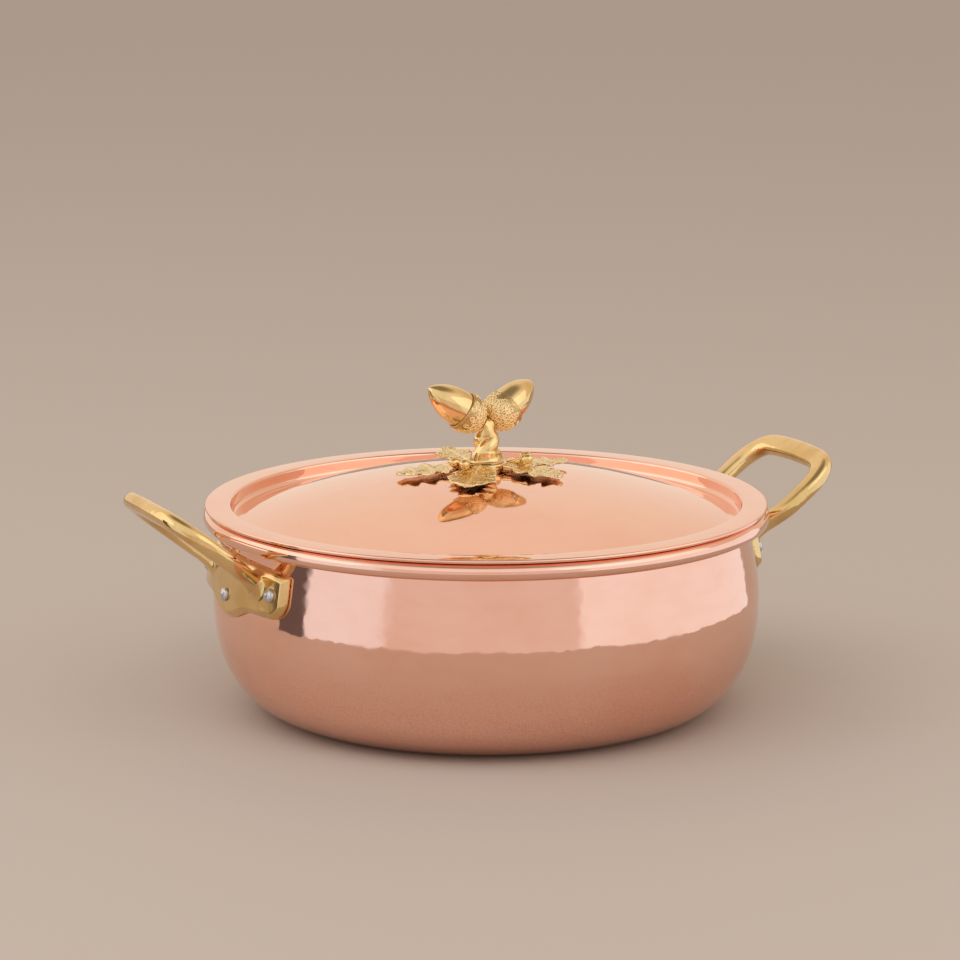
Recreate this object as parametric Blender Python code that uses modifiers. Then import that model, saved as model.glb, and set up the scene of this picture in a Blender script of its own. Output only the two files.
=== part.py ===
# A round two-handled copper serving pan with a lid that lifts off.
#
# The pan is a spun and hammered copper shell with a rolled rim. Two cast brass
# loop handles are held by three rivets each. The lid has a flat flange that
# lies on the rim, a step that drops into the mouth and a low dome. Its knob is
# a sprig: two acorns on twisted stems over a spray of oak leaves, pulled down
# on the dome by one screw from below.
#
# Units are metres. The pan stands on z = 0 with its axis on z, and the handles
# point along +x and -x.

import math

import bmesh
import bpy
from mathutils import Matrix, Vector

# Fit between touching pieces
SEAT_GAP = 0.0003
BORE_GAP = 0.0003

# Pan shell
PAN_HEIGHT = 0.1023
WALL = 0.0022
NECK_RADIUS = 0.1322
BELLY_SWELL = 0.0042
BELLY_HEIGHT = 0.0580
BASE_RADIUS = 0.0927
CORNER_POWER = 2.25
RIM_PROUD = 0.0088
RIM_TALL = 0.0083
MOUTH_ROUNDING = 0.0010

# Lid
LID_INSET = 0.0010
LID_SHEET = 0.0020
MOUTH_CLEARANCE = 0.0010
STEP_DEPTH = 0.0075
STEP_ROUNDING = 0.0014
VALLEY_ROUNDING = 0.0026
DOME_CROWN = 0.0150
DOME_POWER = 2.1

# Handle feet: a plate against the wall, with a lobe in the middle of its lower edge
FOOT_HALF_ANGLE = math.radians(20.8)
FOOT_THICKNESS = 0.0040
FOOT_EDGE = 0.0012
FOOT_BEVEL = 0.0030
FOOT_TOP_DROP = 0.0050
FOOT_TOP_FALL = 0.0024
FOOT_TALL = 0.0242
FOOT_LOBE_DROP = 0.0064
FOOT_LOBE_HALF_ANGLE = math.radians(10.0)
FOOT_CORNER_WIDE = 0.0100
FOOT_TOP_CORNER = 0.0012
FOOT_LOW_CORNER = 0.0100

# Handle loops: two legs that rise outwards, and the grip across them
LOOP_STANDOFF = 0.0366
LOOP_HALF_WIDTH = 0.0368
LOOP_ROOT_HALF_WIDTH = 0.0280
LOOP_CORNER = 0.0145
LOOP_BOW = 0.0008
LOOP_RISE = math.radians(38.5)
LOOP_ROOT_DROP = 0.0110
LOOP_ROOT_LIFT = 0.0016
LOOP_ROOT_EASE = 0.0105
LEG_SPREAD_LENGTH = 0.0200
LEG_HALF_WIDTH = 0.0040
LEG_ROOT_FLARE = 0.0010
GRIP_HALF_WIDTH = 0.0056
LOOP_HALF_DEPTH = 0.0042
LOOP_SECTION_POWER = 2.6

# Rivets
RIVET_SHANK_RADIUS = 0.0023
RIVET_HEAD_RADIUS = 0.0035
RIVET_HEAD_TALL = 0.0024
RIVET_TAIL_RADIUS = 0.0040
RIVET_TAIL_TALL = 0.0010
MIDDLE_RIVET_DROP = 0.0197
SIDE_RIVET_DROP = 0.0130
SIDE_RIVET_INSET = 0.0096

# Knob: collar, leaves and buds
COLLAR_RADIUS = 0.0104
COLLAR_TALL = 0.0040
COLLAR_ROUNDING = 0.0007
LEAF_THICKNESS = 0.0011
LEAF_HALF_WIDTH = 0.0125
LEAF_STALK_LENGTH = 0.0034
LEAF_STALK_HALF_WIDTH = 0.0018
LEAF_LOBES = 3.5
LEAF_LOBE_SHARE = 0.20
LEAF_SKEW = 0.85
LEAF_FULLNESS = 0.62
LEAF_EDGE_DRAW = 0.0005
LEAF_ROOT_LIFT = 0.0008
LEAF_FOLD = 0.0004
LEAF_RUFFLE = 0.0005
BUD_RADIUS = 0.0026
BUD_LENGTH = 0.0068
BUD_STALK_RADIUS = 0.0009
BUD_STALK_LENGTH = 0.0060
BUD_ROOT_LIFT = 0.0031
BUD_TILT = math.radians(16.0)
# each leaf: name, compass angle, length from the collar, lift of its tip above the dome
LEAVES = [
    ("oak_leaf_left", math.radians(168.0), 0.0350, 0.0022),
    ("oak_leaf_front_left", math.radians(231.0), 0.0320, 0.0018),
    ("oak_leaf_front_right", math.radians(313.0), 0.0300, 0.0016),
    ("oak_leaf_right", math.radians(4.0), 0.0350, 0.0032),
    ("oak_leaf_back", math.radians(94.0), 0.0310, 0.0050),
]
BUD_ANGLES = [math.radians(a) for a in (194.0, 213.0, 327.0, 347.0)]

# Knob: two stems wound round each other on a flared foot
FLARE_RADIUS = 0.0088
FLARE_TALL = 0.0046
FLARE_WAIST_RADIUS = 0.0068
STEM_RADIUS = 0.0042
STEM_TOP_RADIUS = 0.0031
STEM_OFFSET = 0.0033
STEM_TOP_OFFSET = 0.0021
STEM_TWIST = math.radians(150.0)
STEM_TWIST_EASE = 1.3
STEM_START = math.radians(10.0)
STEM_WOUND_TALL = 0.0096
STEM_TALL = 0.0175
STEM_KNEE = 0.0052

# Knob: acorns, each a nut in its cup
CUP_STANDOFF = 0.0030
CUP_DEPTH = 0.0130
CUP_WALL = 0.0009
CUP_FLOOR = 0.0014
CUP_RIM_ROUNDING = 0.0006
CUP_SEAT_RADIUS = 0.0030
CUP_FULLNESS = 0.8
NUT_RADIUS = 0.0090
NUT_LENGTH = 0.0212
NUT_TIP_RADIUS = 0.0007
NUT_TAPER = 2.3
NUT_POINT = 0.75
# each acorn: name, compass angle and elevation of its axis, root of its stem in the flare
ACORNS = [
    ("left", math.radians(176.0), math.radians(35.0), 0.0013),
    ("right", math.radians(20.0), math.radians(30.0), 0.0019),
]

# Knob screw and washer
SCREW_RADIUS = 0.0025
SCREW_CHAMFER = 0.0008
SCREW_HEAD_RADIUS = 0.0048
SCREW_HEAD_TALL = 0.0030
SCREW_HEAD_CHAMFER = 0.0015
SCREW_GRIP = 0.0095
WASHER_RADIUS = 0.0080
WASHER_THICKNESS = 0.0012

# Fineness of the turned and lofted pieces
ROUND_STEPS = 48
FLARE_STEPS = 20
SMALL_STEPS = 16
PIN_STEPS = 10
WALL_POINTS = 3
CORNER_POINTS = 7
BEAD_POINTS = 7
DOME_POINTS = 6
BUTTON_POINTS = 3
LOBE_POINTS = 10
END_POINTS = 4
LEG_POINTS = 7
BEND_POINTS = 6
GRIP_POINTS = 3
LOOP_SIDES = 10
LEAF_STATIONS = 22
FLARE_POINTS = 6
WOUND_POINTS = 7
REACH_POINTS = 5
STEM_SIDES = 12
CUP_POINTS = 5
NUT_POINTS = 7
MERGE = 0.00001

# Radii and heights that follow from the sizes above
NECK_HEIGHT = PAN_HEIGHT - RIM_TALL
BELLY_RADIUS = NECK_RADIUS + BELLY_SWELL
RIM_RADIUS = NECK_RADIUS + RIM_PROUD
MOUTH_RADIUS = NECK_RADIUS - WALL
LID_TOP = PAN_HEIGHT + SEAT_GAP + LID_SHEET
LID_RADIUS = RIM_RADIUS - LID_INSET
STEP_RADIUS = MOUTH_RADIUS - MOUTH_CLEARANCE - LID_SHEET
VALLEY_RADIUS = STEP_RADIUS - VALLEY_ROUNDING
CROWN_HEIGHT = LID_TOP + DOME_CROWN
FOOT_TOP = NECK_HEIGHT - FOOT_TOP_DROP
FOOT_LOW = FOOT_TOP - FOOT_TALL
LOOP_REACH = RIM_RADIUS + LOOP_STANDOFF
LOOP_ROOT_HEIGHT = FOOT_TOP - LOOP_ROOT_DROP
SIDE_RIVET_ANGLE = FOOT_HALF_ANGLE - SIDE_RIVET_INSET / BELLY_RADIUS
STEM_FOOT_HEIGHT = CROWN_HEIGHT + COLLAR_TALL + 2.0 * SEAT_GAP
FORK = Vector((0.0, 0.0, STEM_FOOT_HEIGHT + STEM_TALL))

# How far the middle of a turned facet lies inside the true circle
FACET_SAG = BELLY_RADIUS * (1.0 - math.cos(math.pi / ROUND_STEPS))


def make_material(name, colour, roughness, metallic):
    material = bpy.data.materials.new(name)
    material.use_nodes = True
    shader = material.node_tree.nodes["Principled BSDF"]
    shader.inputs["Base Color"].default_value = (*colour, 1.0)
    shader.inputs["Roughness"].default_value = roughness
    shader.inputs["Metallic"].default_value = metallic
    material.diffuse_color = (*colour, 1.0)
    return material


def make_collection(name):
    collection = bpy.data.collections.new(name)
    bpy.context.scene.collection.children.link(collection)
    return collection


def add_object(name, mesh, material, collection):
    obj = bpy.data.objects.new(name, mesh)
    if material is not None:
        mesh.materials.append(material)
    collection.objects.link(obj)
    return obj


def arc(centre_r, centre_z, radius, start, end, count):
    """Points on an arc in the profile plane; angles in degrees from +r towards +z."""
    points = []
    for i in range(count):
        angle = math.radians(start + (end - start) * i / (count - 1))
        points.append((centre_r + radius * math.cos(angle), centre_z + radius * math.sin(angle)))
    return points


def button(radius, tall, base):
    """A domed head from its middle out to its edge, above a base height."""
    points = []
    for i in range(BUTTON_POINTS + 1):
        angle = 0.5 * math.pi * i / BUTTON_POINTS
        points.append((radius * math.sin(angle), base + tall * math.cos(angle)))
    return points


def smooth(x):
    x = min(max(x, 0.0), 1.0)
    return x * x * (3.0 - 2.0 * x)


def turned(name, profile, material, collection, steps=ROUND_STEPS):
    """A turned solid: the profile runs over the outside from top to bottom.

    A profile that starts and ends off the axis is closed, which leaves a bore.
    """
    mesh = bpy.data.meshes.new(name)
    vertices = [(r, 0.0, z) for r, z in profile]
    edges = [(i, i + 1) for i in range(len(vertices) - 1)]
    if profile[0][0] > 0.0 and profile[-1][0] > 0.0:
        edges.append((len(vertices) - 1, 0))
    mesh.from_pydata(vertices, edges, [])
    obj = add_object(name, mesh, material, collection)
    screw = obj.modifiers.new("Turn", "SCREW")
    screw.axis = "Z"
    screw.angle = math.tau
    screw.steps = steps
    screw.render_steps = steps
    screw.use_merge_vertices = True
    screw.merge_threshold = MERGE
    screw.use_smooth_shade = True
    return obj


def loft(name, rings, material, collection):
    """A closed solid through rings of equal count, capped at both ends."""
    bm = bmesh.new()
    made = [[bm.verts.new(point) for point in ring] for ring in rings]
    count = len(rings[0])
    for first, second in zip(made, made[1:]):
        for i in range(count):
            j = (i + 1) % count
            bm.faces.new((first[i], first[j], second[j], second[i]))
    bm.faces.new(made[0][::-1])
    bm.faces.new(made[-1])
    bmesh.ops.recalc_face_normals(bm, faces=bm.faces)
    mesh = bpy.data.meshes.new(name)
    bm.to_mesh(mesh)
    bm.free()
    mesh.shade_smooth()
    mesh.set_sharp_from_angle(angle=math.radians(40.0))
    return add_object(name, mesh, material, collection)


def hide_cutter(obj):
    obj.hide_render = True
    obj.display_type = "WIRE"


def boolean(obj, other, operation, solver="EXACT"):
    modifier = obj.modifiers.new(operation.title() + " " + other.name, "BOOLEAN")
    modifier.object = other
    modifier.operation = operation
    modifier.solver = solver
    hide_cutter(other)


def bore_cutter(name, radius, length, place, collection):
    """A plain cylinder along its own z, centred at its origin, for cutting a bore."""
    bm = bmesh.new()
    bmesh.ops.create_cone(
        bm, cap_ends=True, segments=PIN_STEPS, radius1=radius, radius2=radius, depth=length
    )
    mesh = bpy.data.meshes.new(name)
    bm.to_mesh(mesh)
    bm.free()
    obj = add_object(name, mesh, None, collection)
    obj.matrix_world = place
    hide_cutter(obj)
    return obj


def aimed(direction, origin):
    """A matrix that turns +z to a direction and moves to a point."""
    turn = Vector(direction).to_track_quat("Z", "Y").to_matrix().to_4x4()
    return Matrix.Translation(Vector(origin)) @ turn


def compass(angle, elevation=0.0):
    flat = math.cos(elevation)
    return Vector((flat * math.cos(angle), flat * math.sin(angle), math.sin(elevation)))


# Pan shell

def shell_radius(z):
    """Outer radius of the copper at a height: round corner, belly and drawn-in neck."""
    if z < BELLY_HEIGHT:
        drop = 1.0 - z / BELLY_HEIGHT
        share = (1.0 - drop ** CORNER_POWER) ** (1.0 / CORNER_POWER)
        return BASE_RADIUS + (BELLY_RADIUS - BASE_RADIUS) * share
    share = min((z - BELLY_HEIGHT) / (NECK_HEIGHT - BELLY_HEIGHT), 1.0)
    swell = 0.5 + 0.5 * math.cos(math.pi * share)
    return NECK_RADIUS + BELLY_SWELL * swell


def offset_inwards(points, distance):
    """Move a profile that runs down the outside towards the metal by a distance."""
    moved = []
    for i, (r, z) in enumerate(points):
        before = points[max(i - 1, 0)]
        after = points[min(i + 1, len(points) - 1)]
        along_r = after[0] - before[0]
        along_z = after[1] - before[1]
        length = math.hypot(along_r, along_z)
        moved.append((r + along_z / length * distance, z - along_r / length * distance))
    return moved


def pan_wall_points():
    """Outside of the wall from the neck down to the edge of the flat base."""
    points = []
    for i in range(WALL_POINTS):
        z = NECK_HEIGHT + (BELLY_HEIGHT - NECK_HEIGHT) * i / WALL_POINTS
        points.append((shell_radius(z), z))
    for i in range(CORNER_POINTS + 1):
        angle = 0.5 * math.pi * i / CORNER_POINTS
        z = BELLY_HEIGHT * (1.0 - math.sin(angle) ** (2.0 / CORNER_POWER))
        points.append((shell_radius(z), z))
    return points


def make_pan_shell(material, collection):
    wall = pan_wall_points()
    inner = offset_inwards(wall, WALL)
    inner[0] = (MOUTH_RADIUS, inner[0][1])
    inner[-1] = (BASE_RADIUS, WALL)
    bead = 0.5 * RIM_TALL
    profile = [(0.0, WALL)]
    profile += inner[::-1]
    profile += arc(MOUTH_RADIUS + MOUTH_ROUNDING, PAN_HEIGHT - MOUTH_ROUNDING, MOUTH_ROUNDING, 180, 90, 3)
    profile += arc(RIM_RADIUS - bead, PAN_HEIGHT - bead, bead, 90, -90, BEAD_POINTS)
    profile += wall
    profile.append((0.0, 0.0))
    return turned("pan_shell", profile, material, collection)


# Lid

def dome_height(r):
    """Height of the dome's top side at a radius."""
    fall = DOME_CROWN + STEP_DEPTH
    return CROWN_HEIGHT - fall * (r / VALLEY_RADIUS) ** DOME_POWER


def make_lid_sheet(material, collection):
    hole = SCREW_RADIUS + BORE_GAP
    edge = 0.5 * LID_SHEET
    dome_edge = VALLEY_RADIUS - VALLEY_ROUNDING
    top = []
    for i in range(DOME_POINTS):
        r = hole + (dome_edge - hole) * i / (DOME_POINTS - 1)
        top.append((r, dome_height(r)))
    valley = LID_TOP - STEP_DEPTH
    top += arc(VALLEY_RADIUS, valley + VALLEY_ROUNDING, VALLEY_ROUNDING, -70, 0, 3)
    top += arc(STEP_RADIUS + STEP_ROUNDING, LID_TOP - STEP_ROUNDING, STEP_ROUNDING, 180, 90, 3)
    under = offset_inwards(top, LID_SHEET)
    under[0] = (hole, under[0][1])
    rim = arc(LID_RADIUS - edge, LID_TOP - edge, edge, 90, -90, 4)
    return turned("lid_sheet", top + rim + under[::-1], material, collection)


# Handles

def foot_low_edge(angle):
    """Lower edge of the foot: level, with a rounded lobe in the middle."""
    share = min(abs(angle) / FOOT_LOBE_HALF_ANGLE, 1.0)
    return FOOT_LOW - FOOT_LOBE_DROP * (0.5 + 0.5 * math.cos(math.pi * share))


def corner_cut(distance, tall):
    """How far the outline draws back at a distance from the foot's end, for a round corner."""
    share = 1.0 - min(max(distance / FOOT_CORNER_WIDE, 0.0), 1.0)
    return tall * (1.0 - math.sqrt(1.0 - share * share))


def foot_angles():
    """Where the foot's slices stand, closer together where its corners are round."""
    corner = FOOT_CORNER_WIDE / BELLY_RADIUS
    flat = FOOT_HALF_ANGLE - corner
    half = [flat * i / LOBE_POINTS for i in range(LOBE_POINTS)]
    for i in range(END_POINTS + 1):
        half.append(flat + corner * math.sin(0.5 * math.pi * i / END_POINTS))
    return [-angle for angle in half[:0:-1]] + half


def foot_section(angle):
    """One upright slice of the foot: against the wall inside, bevelled outside."""
    end_distance = (FOOT_HALF_ANGLE - abs(angle)) * BELLY_RADIUS
    fall = FOOT_TOP_FALL * (angle / FOOT_HALF_ANGLE) ** 2
    top = FOOT_TOP - fall - corner_cut(end_distance, FOOT_TOP_CORNER)
    low = foot_low_edge(angle) + corner_cut(end_distance, FOOT_LOW_CORNER)
    thick = FOOT_EDGE + (FOOT_THICKNESS - FOOT_EDGE) * min(end_distance / FOOT_BEVEL, 1.0)
    ring = []
    for i in range(WALL_POINTS + 1):
        z = low + (top - low) * i / WALL_POINTS
        ring.append((shell_radius(z) + SEAT_GAP, z))
    ring.append((shell_radius(top) + SEAT_GAP + FOOT_EDGE, top))
    face_low = low + FOOT_BEVEL
    face_top = top - FOOT_BEVEL
    for i in range(WALL_POINTS + 1):
        z = face_top + (face_low - face_top) * i / WALL_POINTS
        ring.append((shell_radius(z) + SEAT_GAP + thick, z))
    ring.append((shell_radius(low) + SEAT_GAP + FOOT_EDGE, low))
    turn = compass(angle)
    return [Vector((turn.x * r, turn.y * r, z)) for r, z in ring]


def loop_path():
    """Middle line of the loop from one root to the other, rising away from the pan."""
    root_r = shell_radius(LOOP_ROOT_HEIGHT) + SEAT_GAP + 0.5 * FOOT_THICKNESS
    root_u = math.sqrt(root_r ** 2 - LOOP_ROOT_HALF_WIDTH ** 2)
    corner_u = LOOP_REACH - LOOP_BOW - LOOP_CORNER
    grip_half = LOOP_HALF_WIDTH - LOOP_CORNER
    half = []
    for i in range(LEG_POINTS):
        u = root_u + (corner_u - root_u) * i / LEG_POINTS
        spread = smooth((u - root_u) / LEG_SPREAD_LENGTH)
        half.append((u, LOOP_ROOT_HALF_WIDTH + (LOOP_HALF_WIDTH - LOOP_ROOT_HALF_WIDTH) * spread))
    for i in range(BEND_POINTS):
        angle = 0.5 * math.pi * i / BEND_POINTS
        half.append((corner_u + LOOP_CORNER * math.sin(angle), grip_half + LOOP_CORNER * math.cos(angle)))
    for i in range(GRIP_POINTS):
        w = grip_half * (1.0 - i / GRIP_POINTS)
        half.append((LOOP_REACH - LOOP_BOW * (w / grip_half) ** 2, w))
    path = []
    for u, w in [(u, -w) for u, w in half] + [(LOOP_REACH, 0.0)] + half[::-1]:
        rise = (u - root_u) * math.tan(LOOP_RISE)
        ease = smooth((math.hypot(u, w) - root_r) / LOOP_ROOT_EASE)
        path.append(Vector((u, w, LOOP_ROOT_HEIGHT + rise + LOOP_ROOT_LIFT * ease)))
    return path


def loop_rings():
    """Cross-sections of the loop, flat ovals that widen at the grip and flare at the roots."""
    path = loop_path()
    up = Vector((-math.sin(LOOP_RISE), 0.0, math.cos(LOOP_RISE)))
    last = len(path) - 1
    rings = []
    for i, centre in enumerate(path):
        if i in (0, last):
            along = Vector((1.0 if i == 0 else -1.0, 0.0, 0.0))
            across = Vector((0.0, -along.x, 0.0))
        else:
            along = path[i + 1] - path[i - 1]
            across = along.cross(up)
        across.normalize()
        depth = across.cross(along).normalized()
        out = centre.x - path[0].x
        grip = smooth(out / (LOOP_REACH - path[0].x))
        root = 1.0 - smooth(out / LOOP_ROOT_EASE)
        half_width = LEG_HALF_WIDTH + (GRIP_HALF_WIDTH - LEG_HALF_WIDTH) * grip + LEG_ROOT_FLARE * root
        ring = []
        for k in range(LOOP_SIDES):
            c = math.cos(math.tau * k / LOOP_SIDES)
            s = math.sin(math.tau * k / LOOP_SIDES)
            x = math.copysign(abs(c) ** (2.0 / LOOP_SECTION_POWER), c) * half_width
            y = math.copysign(abs(s) ** (2.0 / LOOP_SECTION_POWER), s) * LOOP_HALF_DEPTH
            ring.append(centre + across * x + depth * y)
        rings.append(ring)
    return rings


def rivet_places():
    """Compass angle from the handle's middle, and height, of each rivet in one foot."""
    side_height = FOOT_TOP - SIDE_RIVET_DROP
    return [
        (0.0, FOOT_TOP - MIDDLE_RIVET_DROP),
        (-SIDE_RIVET_ANGLE, side_height),
        (SIDE_RIVET_ANGLE, side_height),
    ]


def make_handle(side, turn, material, collection, guides):
    place = Matrix.Rotation(turn, 4, "Z")
    handle = loft("handle_" + side, [foot_section(a) for a in foot_angles()], material, collection)
    loop = loft("handle_loop_" + side, loop_rings(), material, guides)
    for obj in (handle, loop):
        obj.matrix_world = place
    boolean(handle, loop, "UNION")
    return handle


def wall_place(angle, height):
    """A matrix on the outside of the wall, with +z square to the copper there."""
    step = SEAT_GAP
    slope = (shell_radius(height + step) - shell_radius(height - step)) / (2.0 * step)
    point = compass(angle) * shell_radius(height) + Vector((0.0, 0.0, height))
    return aimed(compass(angle, -math.atan(slope)), point)


def make_rivet(name, angle, height, material, collection):
    outside = FOOT_THICKNESS + 2.0 * SEAT_GAP
    inside = WALL + SEAT_GAP + FACET_SAG
    profile = button(RIVET_HEAD_RADIUS, RIVET_HEAD_TALL, outside)
    profile += [(RIVET_SHANK_RADIUS, outside), (RIVET_SHANK_RADIUS, -inside)]
    tail = button(RIVET_TAIL_RADIUS, -RIVET_TAIL_TALL, -inside)
    profile += tail[::-1]
    rivet = turned(name, profile, material, collection, steps=PIN_STEPS)
    rivet.matrix_world = wall_place(angle, height)
    return rivet


def cut_rivet_bores(shell, handle, side, turn, guides):
    length = 4.0 * (FOOT_THICKNESS + WALL)
    for number, (angle, height) in enumerate(rivet_places(), 1):
        place = wall_place(turn + angle, height)
        name = "rivet_bore_{}_{}".format(side, number)
        cutter = bore_cutter(name, RIVET_SHANK_RADIUS + BORE_GAP, length, place, guides)
        boolean(shell, cutter, "DIFFERENCE")
        boolean(handle, cutter, "DIFFERENCE")


# Knob

def make_collar(material, collection):
    bore = SCREW_RADIUS + BORE_GAP
    low = CROWN_HEIGHT + SEAT_GAP
    top = low + COLLAR_TALL
    soft = COLLAR_ROUNDING
    profile = [(bore, top), (COLLAR_RADIUS - soft, top), (COLLAR_RADIUS, top - soft)]
    profile += [(COLLAR_RADIUS, low + soft), (COLLAR_RADIUS - soft, low), (bore, low)]
    return turned("leaf_collar", profile, material, collection, steps=ROUND_STEPS // 2)


def leaf_half_width(s, length):
    """Half the width of an oak leaf at a share of its length: a stalk, then round lobes."""
    stalk = LEAF_STALK_LENGTH / length
    blade = min(max((s - stalk) / (1.0 - stalk), 0.0), 1.0)
    body = max(math.sin(math.pi * blade ** LEAF_SKEW), 0.0) ** LEAF_FULLNESS
    lobes = 1.0 - LEAF_LOBE_SHARE * (1.0 + math.cos(math.tau * LEAF_LOBES * blade))
    return max(LEAF_HALF_WIDTH * body * lobes, LEAF_STALK_HALF_WIDTH)


def make_leaf(name, angle, length, tip_lift, material, collection):
    start = COLLAR_RADIUS + SEAT_GAP
    rings = []
    for i in range(LEAF_STATIONS + 1):
        s = i / LEAF_STATIONS
        r = start + length * s
        half = leaf_half_width(s, length)
        wave = 1.0 - math.cos(math.tau * LEAF_LOBES * s)
        base = dome_height(r) + SEAT_GAP + LEAF_ROOT_LIFT + tip_lift * s * s
        curl = (LEAF_RUFFLE * wave + LEAF_FOLD) * half / LEAF_HALF_WIDTH
        low_side = [Vector((r, half * t, base + curl * t * t)) for t in (-1.0, 0.0, 1.0)]
        high_side = []
        for t in (1.0, 0.5, 0.0, -0.5, -1.0):
            z = base + LEAF_THICKNESS + curl * t * t
            high_side.append(Vector((r, (half - LEAF_EDGE_DRAW) * t, z)))
        rings.append(low_side + high_side)
    leaf = loft(name, rings, material, collection)
    leaf.matrix_world = Matrix.Rotation(angle, 4, "Z")
    return leaf


def make_bud(name, angle, material, collection):
    """A small round bud on its stalk, pointing out from the collar and a little up."""
    profile = []
    for i in range(CUP_POINTS):
        a = math.pi * i / CUP_POINTS
        along = BUD_STALK_LENGTH + 0.5 * BUD_LENGTH * (1.0 + math.cos(a))
        profile.append((BUD_RADIUS * math.sin(a), along))
    profile += [(BUD_STALK_RADIUS, BUD_STALK_LENGTH), (BUD_STALK_RADIUS, 0.0), (0.0, 0.0)]
    bud = turned(name, profile, material, collection, steps=PIN_STEPS)
    root = compass(angle) * (COLLAR_RADIUS + 2.0 * SEAT_GAP)
    root.z = CROWN_HEIGHT + SEAT_GAP + BUD_ROOT_LIFT
    bud.matrix_world = aimed(compass(angle, BUD_TILT), root)
    return bud


def stem_path(phase, root, direction):
    """Middle line of one stem: it winds round the axis, then bends over to its acorn."""
    path = []
    for i in range(WOUND_POINTS + 1):
        s = i / WOUND_POINTS
        a = phase + STEM_TWIST * s ** STEM_TWIST_EASE
        reach = STEM_OFFSET + (STEM_TOP_OFFSET - STEM_OFFSET) * s
        path.append(Vector((reach * math.cos(a), reach * math.sin(a), root + STEM_WOUND_TALL * s)))
    start = path[-1]
    end = FORK + direction * (CUP_STANDOFF - SEAT_GAP)
    knee = end - direction * STEM_KNEE
    for i in range(1, REACH_POINTS + 1):
        s = i / REACH_POINTS
        path.append(start.lerp(knee, s).lerp(knee.lerp(end, s), s))
    return path


def stem_tube(name, phase, root, direction, material, collection):
    """One stem as rings square to its middle line, thinner towards the acorn."""
    path = stem_path(phase, root, direction)
    last = len(path) - 1
    rings = []
    heading = Vector((0.0, 0.0, 1.0))
    turn = heading.rotation_difference(heading)
    for i, centre in enumerate(path):
        along = heading
        if i == last:
            along = direction
        elif i > 0:
            along = (path[i + 1] - path[i - 1]).normalized()
        turn = heading.rotation_difference(along) @ turn
        heading = along
        radius = STEM_RADIUS + (STEM_TOP_RADIUS - STEM_RADIUS) * i / last
        ring = []
        for k in range(STEM_SIDES):
            a = math.tau * k / STEM_SIDES
            ring.append(centre + turn @ Vector((radius * math.cos(a), radius * math.sin(a), 0.0)))
        rings.append(ring)
    return loft(name, rings, material, collection)


def make_stem(material, collection, guides):
    low = STEM_FOOT_HEIGHT
    shoulder = low + FLARE_TALL
    profile = [(0.0, shoulder)]
    for i in range(FLARE_POINTS + 1):
        a = 0.5 * math.pi * i / FLARE_POINTS
        r = FLARE_RADIUS - (FLARE_RADIUS - FLARE_WAIST_RADIUS) * math.cos(a)
        profile.append((r, shoulder - (FLARE_TALL - SEAT_GAP) * math.sin(a)))
    profile += [(FLARE_RADIUS, low), (0.0, low)]
    stem = turned("sprig_stem", profile, material, collection, steps=FLARE_STEPS)
    for number, (side, angle, elevation, root) in enumerate(ACORNS):
        phase = STEM_START + math.pi * number
        name = "stem_twist_" + side
        tube = stem_tube(name, phase, low + root, compass(angle, elevation), material, guides)
        boolean(stem, tube, "UNION", solver="MANIFOLD")
    depth = 2.0 * (SCREW_GRIP + BORE_GAP)
    place = Matrix.Translation((0.0, 0.0, low))
    bore = bore_cutter("screw_bore", SCREW_RADIUS + BORE_GAP, depth, place, guides)
    boolean(stem, bore, "DIFFERENCE", solver="MANIFOLD")
    return stem


def nut_seat(radius, floor):
    """The round lower end of a nut, or of the hollow it sits in, from its bottom up."""
    points = []
    for i in range(CUP_POINTS + 1):
        a = 0.5 * math.pi * i / CUP_POINTS
        points.append((radius * math.sin(a), CUP_DEPTH - (CUP_DEPTH - floor) * math.cos(a)))
    return points


def make_acorn_cup(side, place, material, collection):
    hollow = NUT_RADIUS + BORE_GAP
    outer = hollow + CUP_WALL
    profile = nut_seat(hollow, CUP_FLOOR)
    profile += [(outer - CUP_RIM_ROUNDING, CUP_DEPTH), (outer, CUP_DEPTH - CUP_RIM_ROUNDING)]
    for i in range(1, CUP_POINTS):
        a = 0.5 * math.pi * i / CUP_POINTS
        z = (CUP_DEPTH - CUP_FLOOR) * (1.0 - math.sin(a))
        profile.append((outer * math.cos(a) ** CUP_FULLNESS, z))
    profile += [(CUP_SEAT_RADIUS, 0.0), (0.0, 0.0)]
    cup = turned("acorn_cup_" + side, profile, material, collection, steps=SMALL_STEPS)
    cup.matrix_world = place


def make_acorn_nut(side, place, material, collection):
    tip = CUP_DEPTH + NUT_LENGTH
    profile = [(0.0, tip), (NUT_TIP_RADIUS, tip - 0.5 * NUT_TIP_RADIUS)]
    for i in range(NUT_POINTS - 1, 0, -1):
        s = i / NUT_POINTS
        profile.append((NUT_RADIUS * (1.0 - s ** NUT_TAPER) ** NUT_POINT, CUP_DEPTH + NUT_LENGTH * s))
    profile += nut_seat(NUT_RADIUS, CUP_FLOOR + BORE_GAP)[::-1]
    nut = turned("acorn_nut_" + side, profile, material, collection, steps=SMALL_STEPS)
    nut.matrix_world = place


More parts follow.
